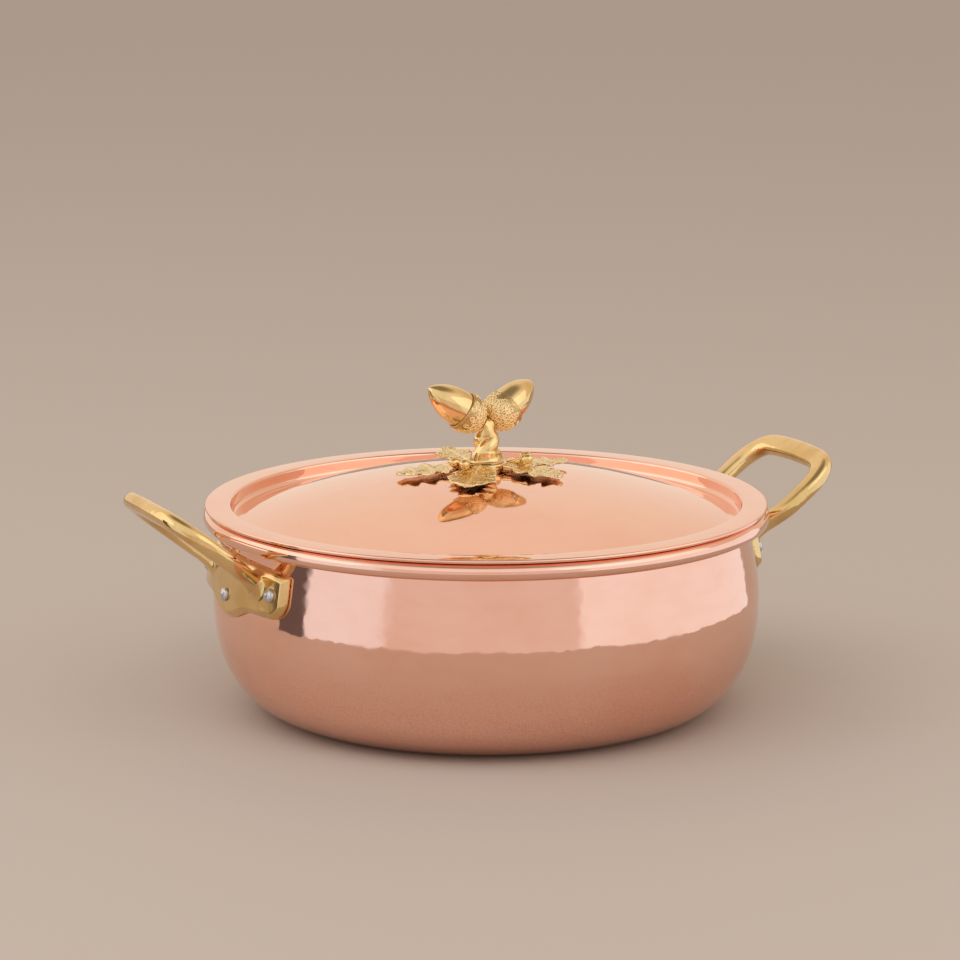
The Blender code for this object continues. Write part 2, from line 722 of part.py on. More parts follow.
def make_fixings(material, collection):
    washer_top = dome_height(WASHER_RADIUS) - LID_SHEET - SEAT_GAP
    washer_low = washer_top - WASHER_THICKNESS
    bore = SCREW_RADIUS + BORE_GAP
    washer = [(bore, washer_top), (WASHER_RADIUS, washer_top), (WASHER_RADIUS, washer_low), (bore, washer_low)]
    turned("knob_washer", washer, material, collection, steps=SMALL_STEPS)
    head_top = washer_low - SEAT_GAP
    head_low = head_top - SCREW_HEAD_TALL
    tip = STEM_FOOT_HEIGHT + SCREW_GRIP
    screw = [
        (0.0, tip), (SCREW_RADIUS - SCREW_CHAMFER, tip), (SCREW_RADIUS, tip - SCREW_CHAMFER),
        (SCREW_RADIUS, head_top), (SCREW_HEAD_RADIUS, head_top),
        (SCREW_HEAD_RADIUS, head_low + SCREW_HEAD_CHAMFER),
        (SCREW_HEAD_RADIUS - SCREW_HEAD_CHAMFER, head_low), (0.0, head_low),
    ]
    turned("knob_screw", screw, material, collection, steps=SMALL_STEPS)


def build():
    for obj in list(bpy.data.objects):
        bpy.data.objects.remove(obj)
    parts = make_collection("copper_serving_pan")
    guides = make_collection("cutters_and_guides")
    copper = make_material("polished_copper", (0.93, 0.56, 0.42), 0.12, 1.0)
    brass = make_material("cast_brass", (0.80, 0.60, 0.26), 0.18, 1.0)
    steel = make_material("rivet_steel", (0.72, 0.73, 0.74), 0.22, 1.0)
    shell = make_pan_shell(copper, parts)
    for side, turn in (("right", 0.0), ("left", math.pi)):
        handle = make_handle(side, turn, brass, parts, guides)
        cut_rivet_bores(shell, handle, side, turn, guides)
        for number, (angle, height) in enumerate(rivet_places(), 1):
            make_rivet("rivet_{}_{}".format(side, number), turn + angle, height, steel, parts)
    make_lid_sheet(copper, parts)
    make_collar(brass, parts)
    for name, angle, length, tip_lift in LEAVES:
        make_leaf(name, angle, length, tip_lift, brass, parts)
    for number, angle in enumerate(BUD_ANGLES, 1):
        make_bud("oak_bud_{}".format(number), angle, brass, parts)
    make_stem(brass, parts, guides)
    for side, angle, elevation, _ in ACORNS:
        direction = compass(angle, elevation)
        place = aimed(direction, FORK + direction * CUP_STANDOFF)
        make_acorn_cup(side, place, brass, parts)
        make_acorn_nut(side, place, brass, parts)
    make_fixings(steel, parts)


build()
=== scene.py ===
from math import atan, ceil, cos, exp, hypot, pi, radians, sin, sqrt, tau

import bmesh
import bpy
import numpy as np
from mathutils import Matrix, Vector, noise


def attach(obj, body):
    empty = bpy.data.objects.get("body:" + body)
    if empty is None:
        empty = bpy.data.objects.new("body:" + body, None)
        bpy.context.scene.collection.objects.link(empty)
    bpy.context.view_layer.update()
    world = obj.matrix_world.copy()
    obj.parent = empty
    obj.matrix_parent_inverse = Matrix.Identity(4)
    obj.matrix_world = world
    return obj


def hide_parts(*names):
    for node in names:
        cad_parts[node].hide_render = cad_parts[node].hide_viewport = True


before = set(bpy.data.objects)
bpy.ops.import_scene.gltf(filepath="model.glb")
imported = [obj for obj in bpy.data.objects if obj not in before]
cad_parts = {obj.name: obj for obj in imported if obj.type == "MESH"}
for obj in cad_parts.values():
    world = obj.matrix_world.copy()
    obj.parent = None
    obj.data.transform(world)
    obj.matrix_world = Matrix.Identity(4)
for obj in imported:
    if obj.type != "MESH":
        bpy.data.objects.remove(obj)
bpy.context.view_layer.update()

# Pan shell: one sheet of copper, spun to shape and rolled over a wire at the mouth.
# It is planished outside with a smooth hammer and polished, and stands on a flat base.
SEAT_GAP = 0.0003
PAN_HEIGHT = 0.1023
WALL = 0.0022
NECK_RADIUS = 0.1322
RIM_TALL = 0.0083
RIM_PROUD = 0.0088
RIM_RADIUS = NECK_RADIUS + RIM_PROUD
NECK_HEIGHT = PAN_HEIGHT - RIM_TALL
BELLY_SWELL = 0.0042
BELLY_RADIUS = NECK_RADIUS + BELLY_SWELL
BELLY_HEIGHT = 0.0580
BASE_RADIUS = 0.0927
CORNER_POWER = 2.25
MOUTH_RADIUS = NECK_RADIUS - WALL
MOUTH_ROUNDING = 0.0010
SHELL_STEPS = 640
OUTER_SPACING = 0.0013
INNER_SPACING = 0.0080
MARK_SIZE = 0.0044
MARK_DEPTH = 0.000060
MARK_LOW = 0.0010
MARK_HIGH = NECK_HEIGHT - 0.0006
MARK_FADE = 0.0030
MEAN_MARK = 0.34
MESH_MARK_SHARE = 0.7
CORNER_POINTS = 300
BELLY_POINTS = 100
BASE_RINGS = (0.985, 0.75, 0.40, 0.0)
TARNISH_SIZE = 0.045
WIPING_SIZE = 0.018
# Grain and painted reflection low on the wall: the size of its flecks, the height up to which it is full,
# and where it ends.
GRAIN_AND_PAINTED_REFLECTION_SIZE = 0.0010
GRAIN_AND_PAINTED_REFLECTION_FULL = 0.018
GRAIN_AND_PAINTED_REFLECTION_END = 0.056
COPPER = (0.940, 0.575, 0.445, 1.0)
DEEP_COPPER = (0.880, 0.470, 0.330, 1.0)


class Socket:
    """One output in a node tree. Arithmetic on it adds the Math nodes."""

    def __init__(self, tree, output):
        self.tree = tree
        self.output = output

    def node(self, kind, inputs, output=0, **settings):
        """Add a node: its settings first, then the values or links of its sockets."""
        node = self.tree.nodes.new(kind)
        for key, value in settings.items():
            setattr(node, key, value)
        feed(node, inputs)
        return Socket(self.tree, node.outputs[output])

    def math(self, operation, first, second):
        """One Math node on two values."""
        return self.node("ShaderNodeMath", {0: first, 1: second}, operation=operation)

    def __add__(self, other):
        return self.math("ADD", self, other)

    __radd__ = __add__

    def __sub__(self, other):
        return self.math("SUBTRACT", self, other)

    def __rsub__(self, other):
        return self.math("SUBTRACT", other, self)

    def __mul__(self, other):
        return self.math("MULTIPLY", self, other)

    __rmul__ = __mul__

    def __gt__(self, other):
        return self.math("GREATER_THAN", self, other)

    def part(self, axis):
        """One component of this vector."""
        return self.node("ShaderNodeSeparateXYZ", {"Vector": self}, axis)

    def vector(self, operation, other, output=0):
        """One Vector Math node on this vector and another one or a number."""
        return self.node("ShaderNodeVectorMath", {0: self, 1: other}, output, operation=operation)

    def dot(self, other):
        """How far this vector goes along another one."""
        return self.vector("DOT_PRODUCT", other, "Value")

    def scaled(self, other):
        """This vector times a number, or times another vector part by part."""
        return self.vector("MULTIPLY", other)

    def between(self, low, high):
        """0 below low, 1 above high, smooth between them."""
        inputs = {"Value": self, "From Min": low, "From Max": high}
        return self.node("ShaderNodeMapRange", inputs, interpolation_type="SMOOTHSTEP")

    def cloud(self, size, detail=2.0, rough=0.5):
        """Soft noise on this vector, about 0 to 1, in blotches of a size in metres."""
        inputs = {"Vector": self, "Scale": 1.0 / size, "Detail": detail, "Roughness": rough}
        return self.node("ShaderNodeTexNoise", inputs)

    def hammer(self, size):
        """Square of the distance to the nearest blow, where blows lie about a size apart."""
        distance = self.node("ShaderNodeTexVoronoi", {"Vector": self, "Scale": 1.0 / size})
        return distance * distance

    def blend(self, first, second):
        """A colour that goes from first to second as this value goes from 0 to 1."""
        return self.node("ShaderNodeMix", {0: self, 6: first, 7: second}, 2, data_type="RGBA")

    def bump(self, distance):
        """A normal bent by this height times a distance in metres."""
        return self.node("ShaderNodeBump", {"Height": self, "Distance": distance})

    def shaded(self, value):
        """This geometry with one value of painted shade, which darkens the brass where it lies."""
        inputs = {"Geometry": self, "Name": "recess", "Value": value}
        return self.node("GeometryNodeStoreNamedAttribute", inputs)


def feed(node, inputs):
    """Give a node's sockets their values, or links from other sockets."""
    for key, value in inputs.items():
        if isinstance(value, Socket):
            value.tree.links.new(value.output, node.inputs[key])
        else:
            node.inputs[key].default_value = value


def start_material(name):
    """A new material and the socket of its Object coordinates, which are metres."""
    material = bpy.data.materials.new(name)
    material.use_nodes = True
    place = material.node_tree.nodes.new("ShaderNodeTexCoord")
    return material, Socket(material.node_tree, place.outputs["Object"])


def finish_metal(metal, colour, roughness, normal):
    """Feed a metal's colour, roughness and normal to its shader."""
    inputs = {"Metallic": 1.0, "Base Color": colour, "Roughness": roughness, "Normal": normal}
    feed(metal.node_tree.nodes["Principled BSDF"], inputs)
    return metal


def new_object(name, data):
    """A new object at the scene's origin that holds a mesh, lamp or camera."""
    made = bpy.data.objects.new(name, data)
    bpy.context.scene.collection.objects.link(made)
    return made


def plain_piece(name, points, faces):
    """A smooth mesh with its faces turned outwards."""
    mesh = bpy.data.meshes.new(name)
    mesh.from_pydata(points, [], faces)
    bm = bmesh.new()
    bm.from_mesh(mesh)
    bmesh.ops.recalc_face_normals(bm, faces=bm.faces)
    bm.to_mesh(mesh)
    bm.free()
    mesh.shade_smooth()
    return new_object(name, mesh)


def skinned(name, rings):
    """A closed body over rings of points. A ring of one point is a pole."""
    count = max(len(ring) for ring in rings)
    points = []
    rows = []
    for ring in rings:
        first = len(points)
        points.extend(ring)
        rows.append([first] * count if len(ring) == 1 else list(range(first, first + count)))
    if len(rings[0]) > 1:
        rows.append(rows[0])
    faces = []
    for upper, lower in zip(rows, rows[1:]):
        for k in range(count):
            j = (k + 1) % count
            faces.append(list(dict.fromkeys((upper[k], lower[k], lower[j], upper[j]))))
    return plain_piece(name, points, faces)


def turned(name, profile, steps):
    """A body turned from a profile of (radius, height). A radius may be an array over the steps."""
    angles = np.linspace(0.0, tau, steps, endpoint=False)
    rings = []
    for r, z in profile:
        ring = np.stack([r * np.cos(angles), r * np.sin(angles), np.full(steps, z)], axis=1).tolist()
        rings.append(ring if np.max(r) > 0.0 else ring[:1])
    return skinned(name, rings)


def finish_piece(piece, metal, body, slot, *nodes):
    """Give a piece its metal and its body, and hide the CAD nodes that it stands for. The slot is not
    used.
    """
    piece.data.materials.clear()
    piece.data.materials.append(metal)
    if nodes:
        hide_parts(*nodes)
    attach(piece, body)


def new_tree(name, inputs):
    """A geometry tree with named inputs, and a socket for each of them."""
    tree = bpy.data.node_groups.new(name, "GeometryNodeTree")
    tree.interface.new_socket("Geometry", in_out="INPUT", socket_type="NodeSocketGeometry")
    for label, kind in inputs.items():
        tree.interface.new_socket(label, in_out="INPUT", socket_type="NodeSocket" + kind)
    tree.interface.new_socket("Geometry", in_out="OUTPUT", socket_type="NodeSocketGeometry")
    source = tree.nodes.new("NodeGroupInput")
    return tree, {output.name: Socket(tree, output) for output in source.outputs if output.name}


def outside_of(source):
    """Places and normals of a turned body, and 1 where a normal points away from its axis."""
    spot = source.node("GeometryNodeInputPosition", {})
    outward = source.node("GeometryNodeInputNormal", {})
    return spot, outward, spot.scaled((1.0, 1.0, 0.0)).dot(outward) > 0.0


def end_tree(made, metal):
    """End a geometry tree in plain faces of one metal."""
    plain = made.node("GeometryNodeRealizeInstances", {"Geometry": made})
    dressed = plain.node("GeometryNodeSetMaterial", {"Geometry": plain, "Material": metal})
    feed(made.tree.nodes.new("NodeGroupOutput"), {"Geometry": dressed})


def grown(piece, tree, values):
    """Run a geometry tree on the piece once and keep what it makes as a plain mesh."""
    modifier = piece.modifiers.new(tree.name, "NODES")
    modifier.node_group = tree
    for item in tree.interface.items_tree:
        if item.in_out == "INPUT" and item.name in values:
            modifier[item.identifier] = values[item.name]
    piece.update_tag()
    bpy.context.view_layer.update()
    graph = bpy.context.evaluated_depsgraph_get()
    mesh = bpy.data.meshes.new_from_object(piece.evaluated_get(graph))
    piece.modifiers.remove(modifier)
    piece.data = mesh
    mesh.shade_smooth()


def shell_radius(z):
    """Outer radius of the copper at a height: round corner, belly and drawn-in neck."""
    low = 1.0 - np.clip(z, 0.0, BELLY_HEIGHT) / BELLY_HEIGHT
    out = (1.0 - low ** CORNER_POWER) ** (1.0 / CORNER_POWER)
    corner = BASE_RADIUS + (BELLY_RADIUS - BASE_RADIUS) * out
    share = np.clip((z - BELLY_HEIGHT) / (NECK_HEIGHT - BELLY_HEIGHT), 0.0, 1.0)
    swell = NECK_RADIUS + BELLY_SWELL * (0.5 + 0.5 * np.cos(pi * share))
    return np.where(z < BELLY_HEIGHT, corner, swell)


def arc(centre_r, centre_z, radius, start, end, count):
    """Points on an arc of a profile; angles in degrees from +r towards +z."""
    angles = np.radians(np.linspace(start, end, count))
    return list(zip(centre_r + radius * np.cos(angles), centre_z + radius * np.sin(angles)))


def offset(points, distance):
    """A profile moved to its right-hand side, which is into the metal of an outer side."""
    line = np.array(points)
    along = np.gradient(line, axis=0)
    along /= np.linalg.norm(along, axis=1)[:, None]
    return list(zip(line[:, 0] + along[:, 1] * distance, line[:, 1] - along[:, 0] * distance))


def even(points, spacing):
    """The same line with its points about one spacing apart."""
    line = np.array(points)
    length = np.concatenate(([0.0], np.cumsum(np.linalg.norm(np.diff(line, axis=0), axis=1))))
    at = np.linspace(0.0, length[-1], max(int(round(length[-1] / spacing)), 2) + 1)
    return list(zip(*[np.interp(at, length, column) for column in line.T]))


turns = np.linspace(0.0, 0.5 * pi, CORNER_POINTS)
heights = np.concatenate((
    np.linspace(NECK_HEIGHT, BELLY_HEIGHT, BELLY_POINTS, endpoint=False),
    BELLY_HEIGHT * (1.0 - np.sin(turns) ** (2.0 / CORNER_POWER)),
))
wall_line = list(zip(shell_radius(heights), heights))
inner_line = offset(wall_line, WALL)
bead = 0.5 * RIM_TALL
profile = [(0.0, WALL)] + even(inner_line, INNER_SPACING)[::-1]
profile += arc(MOUTH_RADIUS + MOUTH_ROUNDING, PAN_HEIGHT - MOUTH_ROUNDING, MOUTH_ROUNDING, 180, 90, 5)
profile += arc(RIM_RADIUS - bead, PAN_HEIGHT - bead, bead, 90, -90, 17)
profile += even(wall_line, OUTER_SPACING)
profile += [(BASE_RADIUS * share, 0.0) for share in BASE_RINGS]
copper_shell = turned("copper_shell", profile, SHELL_STEPS)

metal, place = start_material("hammered_copper")
tarnish = place.cloud(TARNISH_SIZE, 3.0).between(0.42, 0.72)
wiping = place.scaled((1.0, 1.0, 3.0)).cloud(WIPING_SIZE, 4.0).between(0.40, 0.72)
# Grain: a fine bump all over. Low on the wall it also paints dark copper flecks into the colour, stronger
# towards the bottom: a painted reflection of a dark, speckled floor.
grain_and_painted_darkening = place.cloud(GRAIN_AND_PAINTED_REFLECTION_SIZE, 3.0, 0.6)
# low is 1 at the base and fades out up the wall; it carries the painted reflection, more roughness and a
# stronger grain bump.
low = 1.0 - place.part(2).between(GRAIN_AND_PAINTED_REFLECTION_FULL, GRAIN_AND_PAINTED_REFLECTION_END)
hammered_copper = finish_metal(
    metal,
    (tarnish * 0.4 + wiping * 0.2 + low * grain_and_painted_darkening.between(0.44, 0.60) * 0.8).blend(COPPER, DEEP_COPPER),
    0.050 + wiping * 0.035 + tarnish * 0.025 + low * 0.060,
    (place.hammer(MARK_SIZE) * 0.35 + grain_and_painted_darkening * (low * 0.32 + 0.035)).bump(MARK_DEPTH),
)

tree, given = new_tree("hammer_marks", {"Depth": "Float", "Low": "Float", "High": "Float"})
sheet = given["Geometry"]
spot, outward, outside = outside_of(sheet)
height = spot.part(2)
wall = height.between(given["Low"], given["Low"] + MARK_FADE)
wall = wall * (1.0 - height.between(given["High"] - MARK_FADE, given["High"]))
push = (spot.hammer(MARK_SIZE) - MEAN_MARK) * given["Depth"] * wall * outside
hammered = sheet.node("GeometryNodeSetPosition", {"Geometry": sheet, "Offset": outward.scaled(push)})
end_tree(hammered, hammered_copper)
grown(copper_shell, tree, {"Depth": MARK_DEPTH * MESH_MARK_SHARE, "Low": MARK_LOW, "High": MARK_HIGH})
finish_piece(copper_shell, hammered_copper, "pan", "copper", "pan_shell")

# Tin lining: pure tin wiped over the inside of the hot copper, so that food never meets
# the copper. It ends a little below the mouth and has no strength of its own.
TIN_COAT = 0.00025
TIN_CLEARANCE = 0.00002
TIN_SPACING = 0.0025
TIN_STEPS = 256
TIN_RINGS = (0.6, 0.3, 0.0)
TIN_WIPE_SIZE = 0.024
TIN_SPECK_SIZE = 0.0022
TIN_BUMP = 0.00035
TIN = (0.800, 0.790, 0.760, 1.0)
DULL_TIN = (0.640, 0.630, 0.610, 1.0)

floor_line = even(inner_line, TIN_SPACING) + [(share * BASE_RADIUS, WALL) for share in TIN_RINGS]
profile = offset(floor_line, TIN_COAT)[::-1] + offset(floor_line, TIN_CLEARANCE)
profile[0] = (0.0, WALL + TIN_COAT)
profile[-1] = (0.0, WALL + TIN_CLEARANCE)
tin_lining = turned("tin_lining", profile, TIN_STEPS)

metal, place = start_material("wiped_tin")
wipes = place.scaled((1.0, 1.0, 5.0)).cloud(TIN_WIPE_SIZE, 5.0, 0.6)
wiped_tin = finish_metal(
    metal,
    wipes.between(0.35, 0.70).blend(TIN, DULL_TIN),
    0.24 + wipes.between(0.30, 0.75) * 0.16,
    (wipes + place.cloud(TIN_SPECK_SIZE, 3.0) * 0.10).bump(TIN_BUMP),
)
finish_piece(tin_lining, wiped_tin, "pan", "tin")

# Handles: two loops of cast brass, ground and polished all over. Each grows out of a foot
# that follows the belly, bevelled at its edge, with a lobe in the middle of its lower edge.
FOOT_HALF_ANGLE = radians(20.8)
FOOT_THICKNESS = 0.0040
FOOT_EDGE = 0.0012
FOOT_BEVEL = 0.0030
FOOT_TOP = NECK_HEIGHT - 0.0050
FOOT_TOP_FALL = 0.0024
FOOT_LOW = FOOT_TOP - 0.0242
FOOT_LOBE_DROP = 0.0064
FOOT_LOBE_HALF_ANGLE = radians(10.0)
FOOT_CORNER_WIDE = 0.0100
FOOT_TOP_CORNER = 0.0012
FOOT_LOW_CORNER = 0.0100
FOOT_SOFTNESS = 0.0005
LOOP_REACH = RIM_RADIUS + 0.0366
LOOP_HALF_WIDTH = 0.0368
LOOP_ROOT_HALF_WIDTH = 0.0280
LOOP_CORNER = 0.0145
LOOP_BOW = 0.0008
LOOP_RISE = radians(38.5)
LOOP_ROOT_HEIGHT = FOOT_TOP - 0.0110
LOOP_ROOT_LIFT = 0.0016
LOOP_ROOT_EASE = 0.0105
LOOP_LEG_POINTS = 40
LOOP_BEND_POINTS = 30
LOOP_GRIP_POINTS = 20
LOOP_SPACING = 0.0008
LOOP_EVENING = 30
LEG_SPREAD_LENGTH = 0.0200
LEG_HALF_WIDTH = 0.0040
LEG_ROOT_FLARE = 0.0010
LEG_FILLET = 0.0036
GRIP_HALF_WIDTH = 0.0056
LOOP_HALF_DEPTH = 0.0042
LOOP_SECTION_POWER = 2.6
PLAN_START = -0.020
PLAN_END = 0.075
PLAN_SIDE = 0.060
PLAN_STEP = 0.0005
HANDLE_CELL = 0.00055
HANDLE_INNER_ROOM = 0.0160
HANDLE_OUTER_ROOM = 0.0080
HANDLE_LOW_ROOM = 0.0015
HANDLE_HALF_SPAN = 0.0530
HANDLE_TOP = 0.1230
NET_PASSES = 4
PATINA_SIZE = 0.030
SMEAR_SIZE = 0.006
WAVE_SIZE = 0.0075
PIT_SIZE = 0.0006
BRASS_BUMP = 0.00022
BRASS = (0.850, 0.600, 0.285, 1.0)
DEEP_BRASS = (0.600, 0.380, 0.120, 1.0)


def smooth(x):
    """0 at 0 and below, 1 at 1 and above, level at both."""
    x = np.clip(x, 0.0, 1.0)
    return x * x * (3.0 - 2.0 * x)


def melted(a, b, width):
    """The lower of two distances, with a soft fillet of a width where they meet."""
    h = np.clip(0.5 + 0.5 * (b - a) / width, 0.0, 1.0)
    return b + (a - b) * h - width * h * (1.0 - h)


def cast_solid(name, distance, low, high, cell):
    """The surface where a signed distance is zero: netted over a grid of cells, then drawn onto it."""
    counts = [int(ceil((high[k] - low[k]) / cell)) + 1 for k in range(3)]
    axes = [low[k] + cell * np.arange(counts[k]) for k in range(3)]
    grid = np.empty(counts)
    y, z = np.meshgrid(axes[1], axes[2], indexing="ij")
    for i, x in enumerate(axes[0]):
        slab = np.stack([np.full(y.size, x), y.ravel(), z.ravel()], axis=1)
        grid[i] = distance(slab).reshape(y.shape)
    solid = grid < 0.0
    total = np.zeros([n - 1 for n in counts], int)
    for corner in np.ndindex(2, 2, 2):
        total += solid[tuple(slice(c, c + n - 1) for c, n in zip(corner, counts))]
    crossed = (total > 0) & (total < 8)
    cells = np.argwhere(crossed)
    number = np.full(crossed.shape, -1)
    number[crossed] = np.arange(len(cells))
    steps = np.eye(3, dtype=int)
    sums = np.zeros((len(cells), 3))
    hits = np.zeros((len(cells), 1))
    quads = []
    for axis in range(3):
        step, side_a, side_b = steps[axis], steps[(axis + 1) % 3], steps[(axis + 2) % 3]
        for a, b in np.ndindex(2, 2):
            start = cells + a * side_a + b * side_b
            here = grid[tuple(start.T)]
            there = grid[tuple((start + step).T)]
            cut = (here < 0.0) != (there < 0.0)
            share = here[cut] / (here[cut] - there[cut])
            sums[cut] += start[cut] + share[:, None] * step
            hits[cut] += 1.0
        here = solid[tuple(slice(0, n - s) for n, s in zip(counts, step))]
        there = solid[tuple(slice(s, n) for n, s in zip(counts, step))]
        edges = np.argwhere(here != there)
        around = [edges, edges - side_a, edges - side_a - side_b, edges - side_b]
        quads += np.stack([number[tuple(corner.T)] for corner in around], axis=1).tolist()
    points = np.array(low) + cell * sums / hits
    for _ in range(NET_PASSES):
        slope = np.empty_like(points)
        for k in range(3):
            step = 0.1 * cell * steps[k]
            slope[:, k] = (distance(points + step) - distance(points - step)) / (0.2 * cell)
        steep = np.maximum((slope ** 2).sum(axis=1), 0.05)
        move = slope * (distance(points) / steep)[:, None]
        length = np.maximum(np.linalg.norm(move, axis=1), 1e-12)[:, None]
        points -= move * np.minimum(1.0, 0.5 * cell / length)
    return plain_piece(name, points.tolist(), quads)


def corner_cut(distance, tall):
    """How far the foot's outline draws back near its end, in a round corner, and its slope."""
    share = np.clip(1.0 - distance / FOOT_CORNER_WIDE, 0.0, 0.998)
    flat = np.sqrt(1.0 - share * share)
    return tall * (1.0 - flat), tall * share / (flat * FOOT_CORNER_WIDE)


def foot_distance(points):
    """Signed distance to the foot plate that lies against the wall."""
    x, y, z = points.T
    angle = np.abs(np.arctan2(y, x))
    end = (FOOT_HALF_ANGLE - angle) * BELLY_RADIUS
    top_cut, top_slope = corner_cut(end, FOOT_TOP_CORNER)
    low_cut, low_slope = corner_cut(end, FOOT_LOW_CORNER)
    lobe = pi * np.clip(angle / FOOT_LOBE_HALF_ANGLE, 0.0, 1.0)
    low = FOOT_LOW - FOOT_LOBE_DROP * (0.5 + 0.5 * np.cos(lobe)) + low_cut
    lobe_slope = 0.5 * pi * FOOT_LOBE_DROP * np.sin(lobe) / (FOOT_LOBE_HALF_ANGLE * BELLY_RADIUS)
    fall = FOOT_TOP_FALL * (angle / FOOT_HALF_ANGLE) ** 2
    to_top = (FOOT_TOP - fall - top_cut - z) / np.hypot(1.0, top_slope)
    to_low = (z - low) / np.hypot(1.0, np.maximum(low_slope, lobe_slope))
    inside = np.minimum(np.minimum(to_top, to_low), end)
    thick = FOOT_EDGE + (FOOT_THICKNESS - FOOT_EDGE) * np.clip(inside / FOOT_BEVEL, 0.0, 1.0)
    proud = np.hypot(x, y) - shell_radius(z) - SEAT_GAP
    return -melted(thick - proud, inside, FOOT_SOFTNESS)


root_r = float(shell_radius(LOOP_ROOT_HEIGHT)) + SEAT_GAP + 0.5 * FOOT_THICKNESS
root_u = sqrt(root_r ** 2 - LOOP_ROOT_HALF_WIDTH ** 2)
corner_u = LOOP_REACH - LOOP_BOW - LOOP_CORNER
grip_half = LOOP_HALF_WIDTH - LOOP_CORNER
leg_u = np.linspace(root_u, corner_u, LOOP_LEG_POINTS, endpoint=False)
leg_spread = smooth((leg_u - root_u) / LEG_SPREAD_LENGTH)
leg_w = LOOP_ROOT_HALF_WIDTH + (LOOP_HALF_WIDTH - LOOP_ROOT_HALF_WIDTH) * leg_spread
bend = np.linspace(0.0, 0.5 * pi, LOOP_BEND_POINTS, endpoint=False)
grip_w = np.linspace(grip_half, 0.0, LOOP_GRIP_POINTS)
grip_u = LOOP_REACH - LOOP_BOW * (grip_w / grip_half) ** 2
loop_u = np.concatenate((leg_u, corner_u + LOOP_CORNER * np.sin(bend), grip_u))
loop_w = np.concatenate((leg_w, grip_half + LOOP_CORNER * np.cos(bend), grip_w))
loop_a = (loop_u - root_u) / cos(LOOP_RISE)
loop_line = np.array(even(np.stack([loop_a, loop_w], axis=1), LOOP_SPACING))
for _ in range(LOOP_EVENING):
    loop_line[1:-1] = 0.25 * loop_line[:-2] + 0.5 * loop_line[1:-1] + 0.25 * loop_line[2:]
loop_out = loop_line[:, 0] * cos(LOOP_RISE)
loop_half = LEG_HALF_WIDTH + (GRIP_HALF_WIDTH - LEG_HALF_WIDTH) * smooth(loop_out / (LOOP_REACH - root_u))
loop_half += LEG_ROOT_FLARE * (1.0 - smooth(loop_out / LOOP_ROOT_EASE))
plan_a = np.arange(PLAN_START, PLAN_END, PLAN_STEP)
plan_w = np.arange(0.0, PLAN_SIDE, PLAN_STEP)
plan_gap = np.hypot(plan_a[:, None, None] - loop_line[:, 0], plan_w[None, :, None] - loop_line[:, 1])
plan_distance = plan_gap.min(axis=2)
plan_half = loop_half[plan_gap.argmin(axis=2)]


def from_plan(table, a, w):
    """A value of a table over the loop's own plane, between its points."""
    i = np.clip((a - plan_a[0]) / PLAN_STEP, 0.0, len(plan_a) - 1.001)
    j = np.clip((w - plan_w[0]) / PLAN_STEP, 0.0, len(plan_w) - 1.001)
    row, column = i.astype(int), j.astype(int)
    p, q = i - row, j - column
    low = table[row, column] * (1.0 - q) + table[row, column + 1] * q
    high = table[row + 1, column] * (1.0 - q) + table[row + 1, column + 1] * q
    return low * (1.0 - p) + high * p


def loop_distance(points):
    """Signed distance to the loop: a flat oval section along its line in a sloping plane."""
    x, y, z = points.T
    lift = LOOP_ROOT_LIFT * smooth((np.hypot(x, y) - root_r) / LOOP_ROOT_EASE)
    rise = z - LOOP_ROOT_HEIGHT - lift
    cosine, sine = cos(LOOP_RISE), sin(LOOP_RISE)
    along = (x - root_u) * cosine + rise * sine
    depth = np.abs(rise * cosine - (x - root_u) * sine) / LOOP_HALF_DEPTH
    wide = from_plan(plan_half, along, np.abs(y))
    across = from_plan(plan_distance, along, np.abs(y)) / wide
    power = LOOP_SECTION_POWER
    size = np.maximum((across ** power + depth ** power) ** (1.0 / power), 0.02)
    slope = np.hypot(
        (across / size) ** (power - 1.0) / wide,
        (depth / size) ** (power - 1.0) / LOOP_HALF_DEPTH,
    )
    return (size - 1.0) / np.maximum(slope, 1.0 / GRIP_HALF_WIDTH)


def handle_distance(points):
    """Signed distance to a whole handle, cut where it lies against the wall."""
    body = melted(foot_distance(points), loop_distance(points), LEG_FILLET)
    seat = shell_radius(points[:, 2]) + SEAT_GAP - np.hypot(points[:, 0], points[:, 1])
    return np.maximum(body, seat)


metal, place = start_material("polished_brass")
patina = place.cloud(PATINA_SIZE, 4.0).between(0.40, 0.75)
smears = place.cloud(SMEAR_SIZE, 4.0, 0.6).between(0.42, 0.75)
polished_brass = finish_metal(
    metal,
    (patina * 0.6 + smears * 0.25).blend(BRASS, DEEP_BRASS),
    0.085 + smears * 0.07 + patina * 0.05,
    (place.cloud(WAVE_SIZE, 1.0) + place.cloud(PIT_SIZE) * 0.012).bump(BRASS_BUMP),
)
box_low = (root_u - HANDLE_INNER_ROOM, -HANDLE_HALF_SPAN, FOOT_LOW - FOOT_LOBE_DROP - HANDLE_LOW_ROOM)
box_high = (LOOP_REACH + HANDLE_OUTER_ROOM, HANDLE_HALF_SPAN, HANDLE_TOP)
right_handle = cast_solid("brass_handle_right", handle_distance, box_low, box_high, HANDLE_CELL)
left_handle = new_object("brass_handle_left", right_handle.data.copy())
left_handle.data.transform(Matrix.Rotation(pi, 4, "Z"))
finish_piece(right_handle, polished_brass, "pan", "cast_brass", "handle_right")
finish_piece(left_handle, polished_brass, "pan", "cast_brass", "handle_left")

